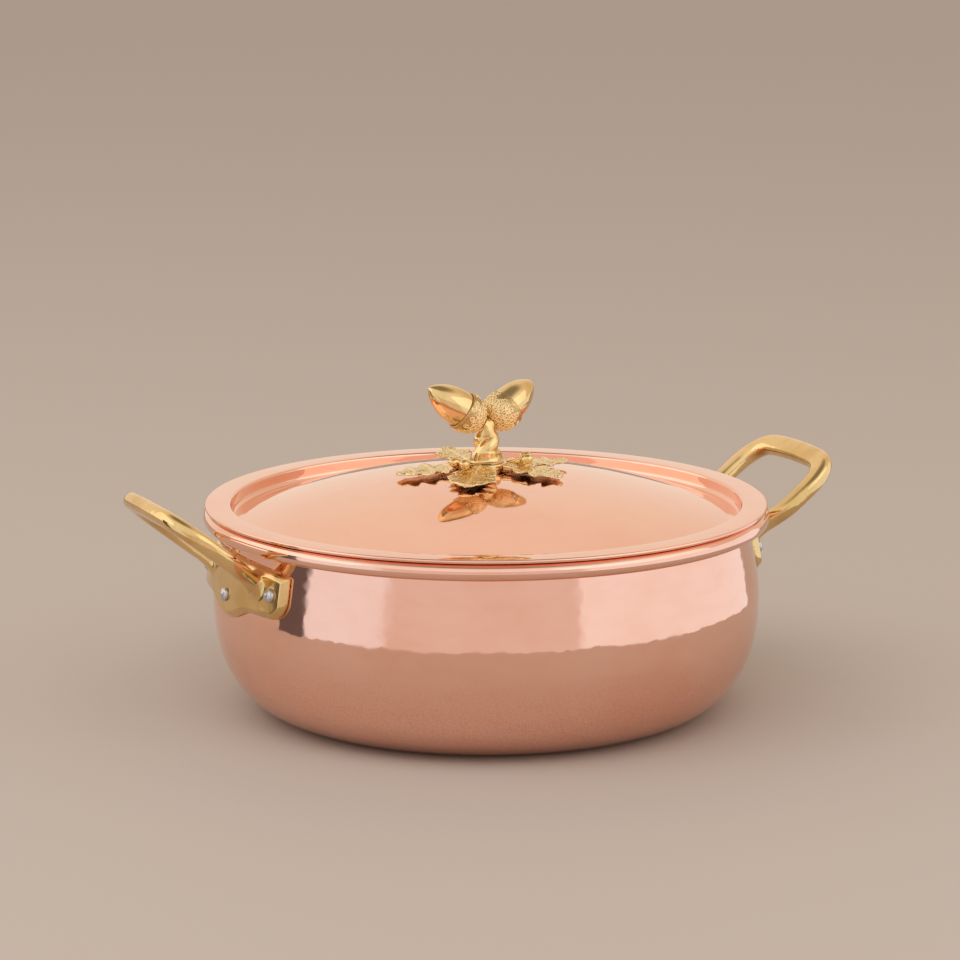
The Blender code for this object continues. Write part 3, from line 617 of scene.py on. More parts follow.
# Rivets: three through each foot, of steel. The domed heads are outside; the tails are
# hammered down inside the pan over the tinned copper.
RIVET_SHANK_RADIUS = 0.0023
RIVET_HEAD_RADIUS = 0.0035
RIVET_HEAD_TALL = 0.0024
RIVET_TAIL_RADIUS = 0.0040
RIVET_TAIL_TALL = 0.0010
RIVET_SEAT = 0.00005
MIDDLE_RIVET_HEIGHT = FOOT_TOP - 0.0197
SIDE_RIVET_HEIGHT = FOOT_TOP - 0.0130
SIDE_RIVET_ANGLE = FOOT_HALF_ANGLE - 0.0096 / BELLY_RADIUS
RIVET_STEPS = 48
BUTTON_EDGE_SHARE = 0.10
SCUFF_SIZE = 0.0012
DENT_SIZE = 0.0030
STEEL_BUMP = 0.00010
RIVET_STEEL = (0.640, 0.630, 0.610, 1.0)
SCUFFED_STEEL = (0.430, 0.420, 0.410, 1.0)


def button(radius, tall, base, count):
    """Profile of a domed button from its middle to its edge; a negative height points down."""
    edge = BUTTON_EDGE_SHARE * tall
    quarter = np.linspace(0.0, 0.5 * pi, count)
    dome = [(radius * sin(a), base + edge + (tall - edge) * cos(a)) for a in quarter]
    return dome + [(radius, base)]


def seated_copies(name, solid, spots, metal):
    """Copies of a solid as one piece; each spot is a point and a direction for its +z."""
    tree, given = new_tree(name, {"Solid": "Object"})
    source = given["Geometry"]
    model = source.node("GeometryNodeObjectInfo", {"Object": given["Solid"]}, "Geometry")
    aim = source.node("GeometryNodeInputNamedAttribute", {"Name": "direction"}, data_type="FLOAT_VECTOR")
    turn = source.node("FunctionNodeAlignRotationToVector", {"Vector": aim}, axis="Z")
    inputs = {"Points": source, "Instance": model, "Rotation": turn}
    end_tree(source.node("GeometryNodeInstanceOnPoints", inputs), metal)
    mesh = bpy.data.meshes.new(name)
    mesh.from_pydata([point for point, _ in spots], [], [])
    mesh.attributes.new("direction", "FLOAT_VECTOR", "POINT")
    mesh.attributes["direction"].data.foreach_set("vector", [v for _, aim in spots for v in aim])
    piece = new_object(name, mesh)
    grown(piece, tree, {"Solid": solid})
    bpy.data.objects.remove(solid)
    return piece


def compass(angle, elevation=0.0):
    """A unit vector at an angle round +z and an elevation above the horizon."""
    flat = cos(elevation)
    return Vector((flat * cos(angle), flat * sin(angle), sin(elevation)))


def wall_spot(angle, height):
    """A point on the outside of the wall, and the direction square to the copper there."""
    slope = float(shell_radius(height + SEAT_GAP) - shell_radius(height - SEAT_GAP)) / (2.0 * SEAT_GAP)
    point = compass(angle) * float(shell_radius(height)) + Vector((0.0, 0.0, height))
    return point, compass(angle, -atan(slope))


head_seat = SEAT_GAP + FOOT_THICKNESS + RIVET_SEAT
tail_seat = WALL + TIN_COAT + RIVET_SEAT
profile = button(RIVET_HEAD_RADIUS, RIVET_HEAD_TALL, head_seat, 14)
profile += [(RIVET_SHANK_RADIUS, head_seat), (RIVET_SHANK_RADIUS, -tail_seat)]
profile += button(RIVET_TAIL_RADIUS, -RIVET_TAIL_TALL, -tail_seat, 10)[::-1]
one_rivet = turned("one_rivet", profile, RIVET_STEPS)

metal, place = start_material("rivet_steel")
scuff = place.cloud(SCUFF_SIZE, 4.0, 0.65).between(0.40, 0.72)
rivet_steel = finish_metal(
    metal,
    scuff.blend(RIVET_STEEL, SCUFFED_STEEL),
    0.22 + scuff * 0.16,
    (scuff * 0.30 + place.cloud(DENT_SIZE, 1.0)).bump(STEEL_BUMP),
)
spots = []
for side in (0.0, pi):
    spots.append(wall_spot(side, MIDDLE_RIVET_HEIGHT))
    for angle in (side - SIDE_RIVET_ANGLE, side + SIDE_RIVET_ANGLE):
        spots.append(wall_spot(angle, SIDE_RIVET_HEIGHT))
handle_rivets = seated_copies("handle_rivets", one_rivet, spots, rivet_steel)
rivet_nodes = [f"rivet_{side}_{number}" for side in ("left", "right") for number in (1, 2, 3)]
finish_piece(handle_rivets, rivet_steel, "pan", "steel", *rivet_nodes)

# Lid: spun from one sheet of copper. The flange lies on the pan's rim, the step drops into
# the mouth, and the middle rises in a low dome. The top is polished to a mirror.
LID_SHEET = 0.0020
LID_TOP = PAN_HEIGHT + SEAT_GAP + LID_SHEET
LID_RADIUS = RIM_RADIUS - 0.0010
STEP_DEPTH = 0.0075
STEP_ROUNDING = 0.0014
STEP_RADIUS = MOUTH_RADIUS - 0.0010 - LID_SHEET
VALLEY_ROUNDING = 0.0026
VALLEY_RADIUS = STEP_RADIUS - VALLEY_ROUNDING
CROWN_HEIGHT = LID_TOP + 0.0150
DOME_POWER = 2.1
VALLEY_TURN = -68
FLANGE_FLAT_START = 0.0035
LID_HOLE = 0.0028
LID_STEPS = 320
DOME_SPACING = 0.0030
FOLD_SHARE = 0.97
HAZE_SIZE = 0.060
LID_SMEAR_SIZE = 0.016
LID_WAVE_SIZE = 0.0180
LID_PIT_SIZE = 0.0010
LID_BUMP = 0.00008


def dome_height(r):
    """Height of the dome's top side at a radius."""
    return CROWN_HEIGHT - (CROWN_HEIGHT - LID_TOP + STEP_DEPTH) * (r / VALLEY_RADIUS) ** DOME_POWER


radii = np.arange(LID_HOLE, VALLEY_RADIUS - VALLEY_ROUNDING, DOME_SPACING)
top = [(r, dome_height(r)) for r in radii]
top += arc(VALLEY_RADIUS, LID_TOP - STEP_DEPTH + VALLEY_ROUNDING, VALLEY_ROUNDING, VALLEY_TURN, 0, 9)
top += arc(STEP_RADIUS + STEP_ROUNDING, LID_TOP - STEP_ROUNDING, STEP_ROUNDING, 180, 90, 9)
top += [(STEP_RADIUS + FLANGE_FLAT_START, LID_TOP), (LID_RADIUS - 0.5 * LID_SHEET, LID_TOP)]
under = [(r, z) for r, z in offset(top, LID_SHEET)
         if min(hypot(r - a, z - b) for a, b in top) > FOLD_SHARE * LID_SHEET]
under[0] = (LID_HOLE, under[0][1])
edge = 0.5 * LID_SHEET
profile = top + arc(LID_RADIUS - edge, LID_TOP - edge, edge, 90, -90, 13)[1:-1] + under[::-1]
copper_lid = turned("copper_lid", profile, LID_STEPS)

metal, place = start_material("mirror_copper")
haze = place.cloud(HAZE_SIZE, 3.0).between(0.40, 0.75)
smears = place.scaled((2.0, 1.0, 1.0)).cloud(LID_SMEAR_SIZE, 4.0, 0.6).between(0.45, 0.78)
mirror_copper = finish_metal(
    metal,
    (haze * 0.35 + smears * 0.15).blend(COPPER, DEEP_COPPER),
    0.035 + smears * 0.035 + haze * 0.02,
    (place.cloud(LID_WAVE_SIZE, 1.0) + place.cloud(LID_PIT_SIZE) * 0.010).bump(LID_BUMP),
)
finish_piece(copper_lid, mirror_copper, "lid", "copper", "lid_sheet")

# Tin under the lid: the side that faces the food is tinned as the pan is, out to where the
# step goes up to the flange.
skin_line = [(r, z) for r, z in under if r < STEP_RADIUS + LID_SHEET]
profile = offset(skin_line, TIN_CLEARANCE) + offset(skin_line, TIN_COAT)[::-1]
tin_under_lid = turned("tin_under_lid", profile, TIN_STEPS)
finish_piece(tin_under_lid, wiped_tin, "lid", "tin")

# Knob collar: a turned brass ring on the crown of the lid. The leaves and buds are brazed
# to its edge, and the stem's foot presses it down.
COLLAR_RADIUS = 0.0104
COLLAR_TALL = 0.0040
COLLAR_ROUNDING = 0.0007
COLLAR_STEPS = 96

collar_low = CROWN_HEIGHT + SEAT_GAP
collar_top = collar_low + COLLAR_TALL
inside = COLLAR_RADIUS - COLLAR_ROUNDING
profile = [(LID_HOLE, collar_top)]
profile += arc(inside, collar_top - COLLAR_ROUNDING, COLLAR_ROUNDING, 90, 0, 6)
profile += arc(inside, collar_low + COLLAR_ROUNDING, COLLAR_ROUNDING, 0, -90, 6)
profile += [(LID_HOLE, collar_low)]
knob_collar = turned("knob_collar", profile, COLLAR_STEPS)
finish_piece(knob_collar, polished_brass, "lid", "cast_brass", "leaf_collar")

# Oak leaves: five thin brass castings, brazed to the collar by their stalks. They lie just
# clear of the dome; lobes, ribs and a grained skin are cast in. Painted shade darkens the
# skin's low spots, the ground between ribs and veins and the underside; high spots keep the bright brass.
LEAF_THICKNESS = 0.0011
LEAF_HALF_WIDTH = 0.0125
LEAF_STALK_LENGTH = 0.0034
LEAF_STALK_HALF_WIDTH = 0.0045
LEAF_LOBES = 3.5
LEAF_LOBE_DEPTH = 0.40
LEAF_SKEW = 0.76
LEAF_HEEL = 0.0021
LEAF_HEEL_REACH = 0.24
LEAF_FULLNESS = 0.52
LEAF_ROOT_LIFT = 0.0008
LEAF_FOLD = 0.0004
LEAF_RUFFLE = 0.0005
LEAF_SWEEP = 0.0030
LEAF_TWIST = 0.0009
LEAF_CRINKLE = 0.09
LEAF_TIP_SHARE = 0.06
RIB_HALF_WIDTH = 0.00055
RIB_TALL = 0.00042
VEIN_START = 0.0010
VEIN_TALL = 0.00028
SKIN_GRAIN = 1.0 / 1150.0
SKIN_FINE_GRAIN = 1.0 / 2700.0
SKIN_GRAIN_TALL = 0.00024
SPECK_SIZE = 0.00045
SPECK_BUMP = 0.00016
FIRST_LEAF_SEED = 3.0
LEAF_SEED_STEP = 1.7
LEAF_STATIONS = 130
LEAF_ACROSS = 56
LEAF_UNDER = 14
# each leaf: its name, its angle round the lid in degrees, its length and how far its tip lifts
LEAVES = (
    ("left", 168.0, 0.0350, 0.0010),
    ("front_left", 231.0, 0.0320, 0.0007),
    ("front_right", 313.0, 0.0300, 0.0007),
    ("right", 4.0, 0.0350, 0.0018),
    ("back", 94.0, 0.0310, 0.0046),
)
# The dark colour is painted shade, mixed with a little random speck; the bright colour is the brass
# itself.
PAINTED_SHADE_BRASS = (0.400, 0.215, 0.055, 1.0)
BRIGHT_BRASS = (0.980, 0.770, 0.420, 1.0)


def lobe_wave(s, length):
    """1 in the bays between an oak leaf's lobes and -1 in the middle of a lobe."""
    stalk = LEAF_STALK_LENGTH / length
    blade = min(max((s - stalk) / (1.0 - stalk), 0.0), 1.0)
    return blade, cos(tau * LEAF_LOBES * blade)


def leaf_half_width(s, length, seed):
    """Half the width of an oak leaf at a share of its length: a stalk, then round lobes."""
    blade, wave = lobe_wave(s, length)
    body = max(sin(pi * blade ** LEAF_SKEW), 0.0) ** LEAF_FULLNESS
    lobes = 1.0 - LEAF_LOBE_DEPTH * (0.5 + 0.5 * wave) ** 1.8
    crinkle = 1.0 + LEAF_CRINKLE * noise.noise(Vector((s * 34.0, seed, 0.0)))
    tip = sqrt(max(1.0 - max((s - 1.0) / LEAF_TIP_SHARE + 1.0, 0.0) ** 2, 0.01))
    return max(LEAF_HALF_WIDTH * body * lobes * crinkle, LEAF_STALK_HALF_WIDTH) * tip


def leaf_point(s, t, top, length, tip_lift, seed):
    """A point of a leaf that points along +x, at shares of its length and half width."""
    blade, wave = lobe_wave(s, length)
    half = leaf_half_width(s, length, seed + 5.0 * (t > 0.0))
    grow = float(smooth(blade * 5.0))
    y = half * t
    r = COLLAR_RADIUS + SEAT_GAP + length * s + LEAF_SWEEP * grow * abs(t) ** 1.6 * sin(pi * s)
    curl = (LEAF_RUFFLE * (1.0 - cos(tau * LEAF_LOBES * s)) + LEAF_FOLD) * half / LEAF_HALF_WIDTH
    twist = LEAF_TWIST * noise.noise(Vector((s * 3.0 + seed, t * 1.2, 7.0))) * grow
    z = dome_height(r) + SEAT_GAP + LEAF_ROOT_LIFT + tip_lift * s * s + curl * t * t + twist
    # The underside gets an even painted shade.
    if not top:
        return Vector((r, y, z)), 0.6
    spot = Vector((r, y, seed))
    grain_and_painted_darkening = noise.noise(spot / SKIN_GRAIN) + 0.6 * noise.noise(spot / SKIN_FINE_GRAIN)
    rib = exp(-(y / RIB_HALF_WIDTH) ** 2)
    vein = exp(-((wave + 1.0) / 0.10) ** 2)
    vein *= float(smooth(abs(y) / VEIN_START)) * (1.0 - abs(t) ** 6)
    z += LEAF_THICKNESS * (1.0 - abs(t) ** 14) + RIB_TALL * rib + VEIN_TALL * vein
    z += SKIN_GRAIN_TALL * grain_and_painted_darkening * (1.0 - 0.7 * max(rib, vein))
    z += LEAF_HEEL * exp(-(s / LEAF_HEEL_REACH) ** 2)
    # The second value is painted shade: more in the low spots of the grain, less on ribs and veins.
    return Vector((r, y, z)), min(max(0.45 - 0.6 * grain_and_painted_darkening - 0.9 * rib - 0.6 * vein, 0.0), 1.0)


metal, place = start_material("grained_brass_with_painted_shade")
# The painted shade stored on each point, with random specks, darkens the brass towards its dark colour.
recess = place.node("ShaderNodeAttribute", {}, "Fac", attribute_name="recess")
speck = place.cloud(SPECK_SIZE, 3.0, 0.6)
dark = (recess * 0.75 + speck.between(0.35, 0.75) * 0.35).between(0.32, 1.0)
grained_brass_with_painted_shade = finish_metal(
    metal,
    dark.blend(BRIGHT_BRASS, PAINTED_SHADE_BRASS),
    0.10 + dark * 0.24,
    speck.bump(SPECK_BUMP),
)
top_row = [(1.0 - 2.0 * (k + 0.5) / LEAF_ACROSS, True) for k in range(LEAF_ACROSS)]
under_row = [(2.0 * (k + 0.5) / LEAF_UNDER - 1.0, False) for k in range(LEAF_UNDER)]
for number, (name, angle, length, tip_lift) in enumerate(LEAVES):
    seed = FIRST_LEAF_SEED + LEAF_SEED_STEP * number
    rings = []
    for i in range(LEAF_STATIONS + 1):
        s = i / LEAF_STATIONS
        rings.append([leaf_point(s, t, top, length, tip_lift, seed) for t, top in top_row + under_row])
    for end in (0, -1):
        middle = sum((point for point, _ in rings[end]), Vector()) / len(rings[end])
        rings.insert(0 if end == 0 else len(rings), [(middle, 0.5)])
    outline = [[point for point, _ in ring] for ring in rings]
    leaf = skinned("brass_oak_leaf_" + name, outline)
    leaf.data.transform(Matrix.Rotation(radians(angle), 4, "Z"))
    # Each point's painted shade goes into an attribute that the material reads.
    shades = leaf.data.attributes.new("recess", "FLOAT", "POINT")
    shades.data.foreach_set("value", [shade for ring in rings for _, shade in ring])
    finish_piece(leaf, grained_brass_with_painted_shade, "lid", "cast_brass", "oak_leaf_" + name)

# Buds: four small unripe acorns on short stalks between the leaves, cast in brass and
# polished, brazed into the collar's edge.
BUD_RADIUS = 0.0026
BUD_LENGTH = 0.0068
BUD_STALK_RADIUS = 0.0009
BUD_STALK_LENGTH = 0.0060
BUD_ROOT_LIFT = 0.0031
BUD_TILT = radians(16.0)
BUD_ANGLES = (194.0, 213.0, 327.0, 347.0)
BUD_POINTS = 24
BUD_STEPS = 36

profile = []
for a in np.linspace(0.0, pi, BUD_POINTS, endpoint=False):
    r = BUD_RADIUS * sin(a)
    if a < 0.5 * pi or r > BUD_STALK_RADIUS:
        profile.append((r, BUD_STALK_LENGTH + 0.5 * BUD_LENGTH * (1.0 + cos(a))))
profile += [(BUD_STALK_RADIUS, BUD_STALK_LENGTH), (BUD_STALK_RADIUS, 0.0), (0.0, 0.0)]
one_bud = turned("one_bud", profile, BUD_STEPS)
spots = []
for degrees in BUD_ANGLES:
    angle = radians(degrees)
    root = compass(angle) * (COLLAR_RADIUS + 2.0 * SEAT_GAP)
    root.z = CROWN_HEIGHT + SEAT_GAP + BUD_ROOT_LIFT
    spots.append((root, compass(angle, BUD_TILT)))
brass_buds = seated_copies("brass_buds", one_bud, spots, polished_brass)
bud_nodes = ("oak_bud_1", "oak_bud_2", "oak_bud_3", "oak_bud_4")
finish_piece(brass_buds, polished_brass, "lid", "cast_brass", *bud_nodes)

# Stem: two stalks wound round each other out of a flared foot, one brass casting. Each
# bends over at the top to carry its acorn; the screw from below is tapped into the foot.
STEM_FOOT_HEIGHT = CROWN_HEIGHT + COLLAR_TALL + 2.0 * SEAT_GAP
FLARE_RADIUS = 0.0088
FLARE_TALL = 0.0046
FLARE_WAIST_RADIUS = 0.0068
FLARE_FILLET = 0.0022
FLARE_SOFTENING = 0.8
STEM_RADIUS = 0.0050
STEM_TOP_RADIUS = 0.0037
STEM_OFFSET = 0.0033
STEM_TOP_OFFSET = 0.0021
STEM_TWIST = radians(150.0)
STEM_TWIST_EASE = 1.3
STEM_START = radians(10.0)
STEM_WOUND_TALL = 0.0096
STEM_WOUND_SHARE = 0.58
STEM_TALL = 0.0175
STEM_KNEE = 0.0052
STEM_CREASE = 0.0009
STEM_WOUND_POINTS = 18
STEM_BENT_POINTS = 12
STEM_CELL = 0.00026
STEM_SIDE_ROOM = 0.0102
STEM_LOW_ROOM = 0.0010
STEM_TOP_ROOM = 0.0060
CUP_STANDOFF = 0.0030
FORK = Vector((0.0, 0.0, STEM_FOOT_HEIGHT + STEM_TALL))
# each acorn: its side, where it points, and how high its stalk starts in the foot
ACORNS = (
    ("left", compass(radians(176.0), radians(35.0)), 0.0013),
    ("right", compass(radians(20.0), radians(30.0)), 0.0019),
)


def stalk_line(phase, root, direction):
    """Middle line of one stalk and its radius along it: wound round the axis, then bent over."""
    line = []
    for s in np.linspace(0.0, 1.0, STEM_WOUND_POINTS):
        a = phase + STEM_TWIST * s ** STEM_TWIST_EASE
        out = STEM_OFFSET + (STEM_TOP_OFFSET - STEM_OFFSET) * s
        z = root + STEM_WOUND_TALL * s
        line.append((out * cos(a), out * sin(a), z, STEM_WOUND_SHARE * s))
    start = Vector(line[-1][:3])
    end = FORK + direction * (CUP_STANDOFF - SEAT_GAP)
    knee = end - direction * STEM_KNEE
    for s in np.linspace(0.0, 1.0, STEM_BENT_POINTS)[1:]:
        point = start.lerp(knee, s).lerp(knee.lerp(end, s), s)
        line.append((*point, STEM_WOUND_SHARE + (1.0 - STEM_WOUND_SHARE) * s))
    line = np.array(line)
    return line[:, :3], STEM_RADIUS + (STEM_TOP_RADIUS - STEM_RADIUS) * line[:, 3]


def rod_distance(points, line, radius):
    """Signed distance to a round rod along a line, whose radius changes along it."""
    best = np.full(len(points), 1.0)
    for a, b, radius_a, radius_b in zip(line, line[1:], radius, radius[1:]):
        along = b - a
        share = np.clip((points - a) @ along / (along @ along), 0.0, 1.0)
        away = np.linalg.norm(points - a - share[:, None] * along, axis=1)
        best = np.minimum(best, away - radius_a - (radius_b - radius_a) * share)
    return best


stalks = []
for number, (_, direction, root) in enumerate(ACORNS):
    line, radius = stalk_line(STEM_START + pi * number, STEM_FOOT_HEIGHT + root, direction)
    stalks.append((line, radius, np.array(direction)))


def stem_distance(points):
    """Signed distance to the whole stem: two stalks and the flared foot, fused together."""
    rods = []
    for line, radius, direction in stalks:
        rods.append(np.maximum(rod_distance(points, line, radius), (points - line[-1]) @ direction))
    wound = melted(rods[0], rods[1], STEM_CREASE)
    drop = (STEM_FOOT_HEIGHT + FLARE_TALL - points[:, 2]) / (FLARE_TALL - SEAT_GAP)
    share = np.sqrt(1.0 - np.clip(drop, 0.0, 1.0) ** 2)
    flare_radius = FLARE_RADIUS - (FLARE_RADIUS - FLARE_WAIST_RADIUS) * share
    flare = FLARE_SOFTENING * (np.hypot(points[:, 0], points[:, 1]) - flare_radius)
    flare = np.maximum(flare, points[:, 2] - STEM_FOOT_HEIGHT - FLARE_TALL)
    return np.maximum(melted(wound, flare, FLARE_FILLET), STEM_FOOT_HEIGHT - points[:, 2])


box_low = (-STEM_SIDE_ROOM, -STEM_SIDE_ROOM, STEM_FOOT_HEIGHT - STEM_LOW_ROOM)
box_high = (STEM_SIDE_ROOM, STEM_SIDE_ROOM, FORK.z + STEM_TOP_ROOM)
wound_stem = cast_solid("wound_stem", stem_distance, box_low, box_high, STEM_CELL)
finish_piece(wound_stem, polished_brass, "lid", "cast_brass", "sprig_stem")

# Acorn cups: hollow brass castings on the ends of the stalks, closely covered outside
# with curls of wire that stand for the scales of a real cup.
CUP_DEPTH = 0.0130
CUP_WALL = 0.0009
CUP_FLOOR = 0.0014
CUP_RIM_ROUNDING = 0.0006
CUP_SEAT_RADIUS = 0.0030
CUP_FULLNESS = 0.8
CUP_POINTS = 26
SEAT_POINTS = 12
CUP_STEPS = 72
NUT_RADIUS = 0.0090
CURL_SPACING = 0.0018
CURL_START = 0.00045
CURL_END = 0.00150
CURL_WIRE = 0.00034
CURL_TURNS = 1.4
CURL_STEPS = 10
CURL_SIDES = 6
CURL_SINK = 0.0002
CURL_MARGIN = 0.0006
CURL_DENSITY = 4.0e6
# Painted shade: the curls are left almost unshaded, and the cup's surface between them is painted dark.
CURL_SHADE = 0.05
GROUND_SHADE = 0.85
SPIN_SEED = 5
FIRST_CURL_SEED = 4

inputs = dict.fromkeys(("Spacing", "Start", "End", "Wire", "Top"), "Float") | {"Seed": "Int"}
tree, given = new_tree("curl_scales", inputs)
cup = given["Geometry"]
spot, _, outside = outside_of(cup)
inputs = {
    "Mesh": cup, "Selection": outside * (given["Top"] > spot.part(2)),
    "Distance Min": given["Spacing"], "Density Max": CURL_DENSITY, "Seed": given["Seed"],
}
points = cup.node("GeometryNodeDistributePointsOnFaces", inputs, distribute_method="POISSON")
facing = Socket(tree, points.output.node.outputs["Rotation"])
spin = cup.node("FunctionNodeRandomValue", {3: tau, "Seed": SPIN_SEED}, 1, data_type="FLOAT")
spin = spin.node("FunctionNodeAxisAngleToRotation", {"Axis": (0.0, 0.0, 1.0), "Angle": spin})
inputs = {"Rotation": facing, "Rotate By": spin}
turn = facing.node("FunctionNodeRotateRotation", inputs, rotation_space="LOCAL")
inputs = {
    "Resolution": CURL_STEPS, "Rotations": CURL_TURNS, "Start Radius": given["Start"],
    "End Radius": given["End"], "Height": -CURL_SINK,
}
curl = cup.node("GeometryNodeCurveSpiral", inputs)
wire = cup.node("GeometryNodeCurvePrimitiveCircle", {"Resolution": CURL_SIDES, "Radius": given["Wire"]})
inputs = {"Curve": curl, "Profile Curve": wire, "Fill Caps": True}
# Each curl gets a little painted shade.
curl = curl.node("GeometryNodeCurveToMesh", inputs).shaded(CURL_SHADE)
inputs = {"Points": points, "Instance": curl, "Rotation": turn}
curls = cup.node("GeometryNodeInstanceOnPoints", inputs)
# The cup's surface between the curls gets heavy painted shade.
joined = cup.node("GeometryNodeJoinGeometry", {"Geometry": cup.shaded(GROUND_SHADE)})
feed(joined.output.node, {"Geometry": curls})
end_tree(joined, grained_brass_with_painted_shade)


def seat_line(radius, floor):
    """The round lower end of a nut, or of the hollow it sits in, from its bottom up."""
    quarter = np.linspace(0.0, 0.5 * pi, SEAT_POINTS)
    return [(radius * sin(a), CUP_DEPTH - (CUP_DEPTH - floor) * cos(a)) for a in quarter]


def acorn_place(direction):
    """Where an acorn sits: the middle of its cup's foot, with +z towards its tip."""
    turn = direction.to_track_quat("Z", "Y").to_matrix().to_4x4()
    return Matrix.Translation(FORK + direction * CUP_STANDOFF) @ turn


hollow = NUT_RADIUS + SEAT_GAP
outer = hollow + CUP_WALL
profile = seat_line(hollow, CUP_FLOOR)
profile += arc(outer - CUP_RIM_ROUNDING, CUP_DEPTH - CUP_RIM_ROUNDING, CUP_RIM_ROUNDING, 90, 0, 6)
for a in np.linspace(0.0, 0.5 * pi, CUP_POINTS)[1:-1]:
    r = outer * cos(a) ** CUP_FULLNESS
    if r > CUP_SEAT_RADIUS:
        profile.append((r, (CUP_DEPTH - CUP_FLOOR) * (1.0 - sin(a))))
profile += [(CUP_SEAT_RADIUS, 0.0), (0.0, 0.0)]
for number, (side, direction, _) in enumerate(ACORNS):
    acorn_cup = turned("brass_acorn_cup_" + side, profile, CUP_STEPS)
    grown(acorn_cup, tree, {
        "Spacing": CURL_SPACING, "Start": CURL_START, "End": CURL_END, "Wire": CURL_WIRE,
        "Top": CUP_DEPTH - CURL_MARGIN, "Seed": FIRST_CURL_SEED + number,
    })
    acorn_cup.data.transform(acorn_place(direction))
    finish_piece(acorn_cup, grained_brass_with_painted_shade, "lid", "cast_brass", "acorn_cup_" + side)

# Nuts: two smooth pointed acorns of solid brass, turned and polished. Their round lower
# ends are brazed into the hollows of the cups.
NUT_LENGTH = 0.0212
NUT_TAPER = 2.3
NUT_POINT = 0.75
NUT_BLUNTNESS = 0.06
NUT_POINTS = 48
NUT_STEPS = 96

profile = [(0.0, CUP_DEPTH + NUT_LENGTH)]
for u in np.linspace(NUT_BLUNTNESS, 1.0, NUT_POINTS, endpoint=False):
    s = 1.0 - u * u
    profile.append((NUT_RADIUS * (1.0 - s ** NUT_TAPER) ** NUT_POINT, CUP_DEPTH + NUT_LENGTH * s))
profile += seat_line(NUT_RADIUS, CUP_FLOOR + SEAT_GAP)[::-1]
for side, direction, _ in ACORNS:
    nut = turned("brass_acorn_nut_" + side, profile, NUT_STEPS)
    nut.data.transform(acorn_place(direction))
    finish_piece(nut, polished_brass, "lid", "cast_brass", "acorn_nut_" + side)

# Washer and screw: an M5 steel screw with a hexagon socket comes up through the lid into
# the stem's foot and pulls the knob down. The flat washer spreads its load on the sheet.
WASHER_RADIUS = 0.0080
WASHER_THICKNESS = 0.0012
WASHER_ROUNDING = 0.0002
SCREW_RADIUS = 0.0025
SCREW_CHAMFER = 0.0008
SCREW_HEAD_RADIUS = 0.0048
SCREW_HEAD_TALL = 0.0030
SCREW_HEAD_CHAMFER = 0.0015
SCREW_GRIP = 0.0095
SOCKET_RADIUS = 0.0023
SOCKET_DEPTH = 0.0016
SCREW_STEPS = 48
SHARP_EDGE = radians(35.0)

washer_top = dome_height(WASHER_RADIUS) - LID_SHEET - SEAT_GAP
washer_low = washer_top - WASHER_THICKNESS
inside = WASHER_RADIUS - WASHER_ROUNDING
profile = [
    (LID_HOLE, washer_top), (inside, washer_top), (WASHER_RADIUS, washer_top - WASHER_ROUNDING),
    (WASHER_RADIUS, washer_low + WASHER_ROUNDING), (inside, washer_low), (LID_HOLE, washer_low),
]
lid_washer = turned("lid_washer", profile, SCREW_STEPS)
lid_washer.data.set_sharp_from_angle(angle=SHARP_EDGE)
finish_piece(lid_washer, rivet_steel, "lid", "steel", "knob_washer")

head_top = washer_low - SEAT_GAP
head_low = head_top - SCREW_HEAD_TALL
socket_end = head_low + SOCKET_DEPTH
tip = STEM_FOOT_HEIGHT + SCREW_GRIP
turns = np.linspace(0.0, tau, SCREW_STEPS, endpoint=False)
hexagon = SOCKET_RADIUS * cos(pi / 6.0) / np.cos(turns % (pi / 3.0) - pi / 6.0)
profile = [
    (0.0, tip), (SCREW_RADIUS - SCREW_CHAMFER, tip), (SCREW_RADIUS, tip - SCREW_CHAMFER),
    (SCREW_RADIUS, head_top), (SCREW_HEAD_RADIUS, head_top),
    (SCREW_HEAD_RADIUS, head_low + SCREW_HEAD_CHAMFER),
    (SCREW_HEAD_RADIUS - SCREW_HEAD_CHAMFER, head_low),
    (hexagon, head_low), (hexagon, socket_end), (0.0, socket_end),
]
lid_screw = turned("lid_screw", profile, SCREW_STEPS)
lid_screw.data.set_sharp_from_angle(angle=SHARP_EDGE)
finish_piece(lid_screw, rivet_steel, "lid", "steel", "knob_screw")

# Studio: a plain pale floor under a soft warm sky, three soft lamps, a low curved screen
# of light that only the polished metal mirrors, and the camera at the photograph's angle.
TARGET = Vector((0.0, 0.0, 0.060))
PHOTO_SIZE = 960.0
CAMERA_DISTANCE = 1.9
CAMERA_AZIMUTH = radians(-115.0)
CAMERA_ELEVATION = radians(12.95)
CAMERA_DIRECTION = compass(CAMERA_AZIMUTH, CAMERA_ELEVATION)
CAMERA_SIDE = compass(CAMERA_AZIMUTH + 0.5 * pi)
CAMERA_LENS = 142.2
CAMERA_SHIFT = (-6.3 / PHOTO_SIZE, 106.7 / PHOTO_SIZE)
FLOOR_RADIUS = 14.0
FLOOR_SIDES = 96
FLOOR_COLOUR = (0.470, 0.395, 0.340, 1.0)
FLOOR_ROUGHNESS = 0.75
FLOOR_SHEEN = 0.2
SKY_FRONT = (1.00, 0.97, 0.94, 1.0)
SKY_LEFT = (0.92, 0.81, 0.69, 1.0)
SKY_RIGHT = (0.78, 0.62, 0.47, 1.0)
SKY_TOP = (0.28, 0.25, 0.21, 1.0)
SKY_FRONT_FADE = (-0.5, 0.6)
SKY_SIDE_FADE = (0.10, 0.60)
SKY_TOP_FADE = (0.74, 0.98)
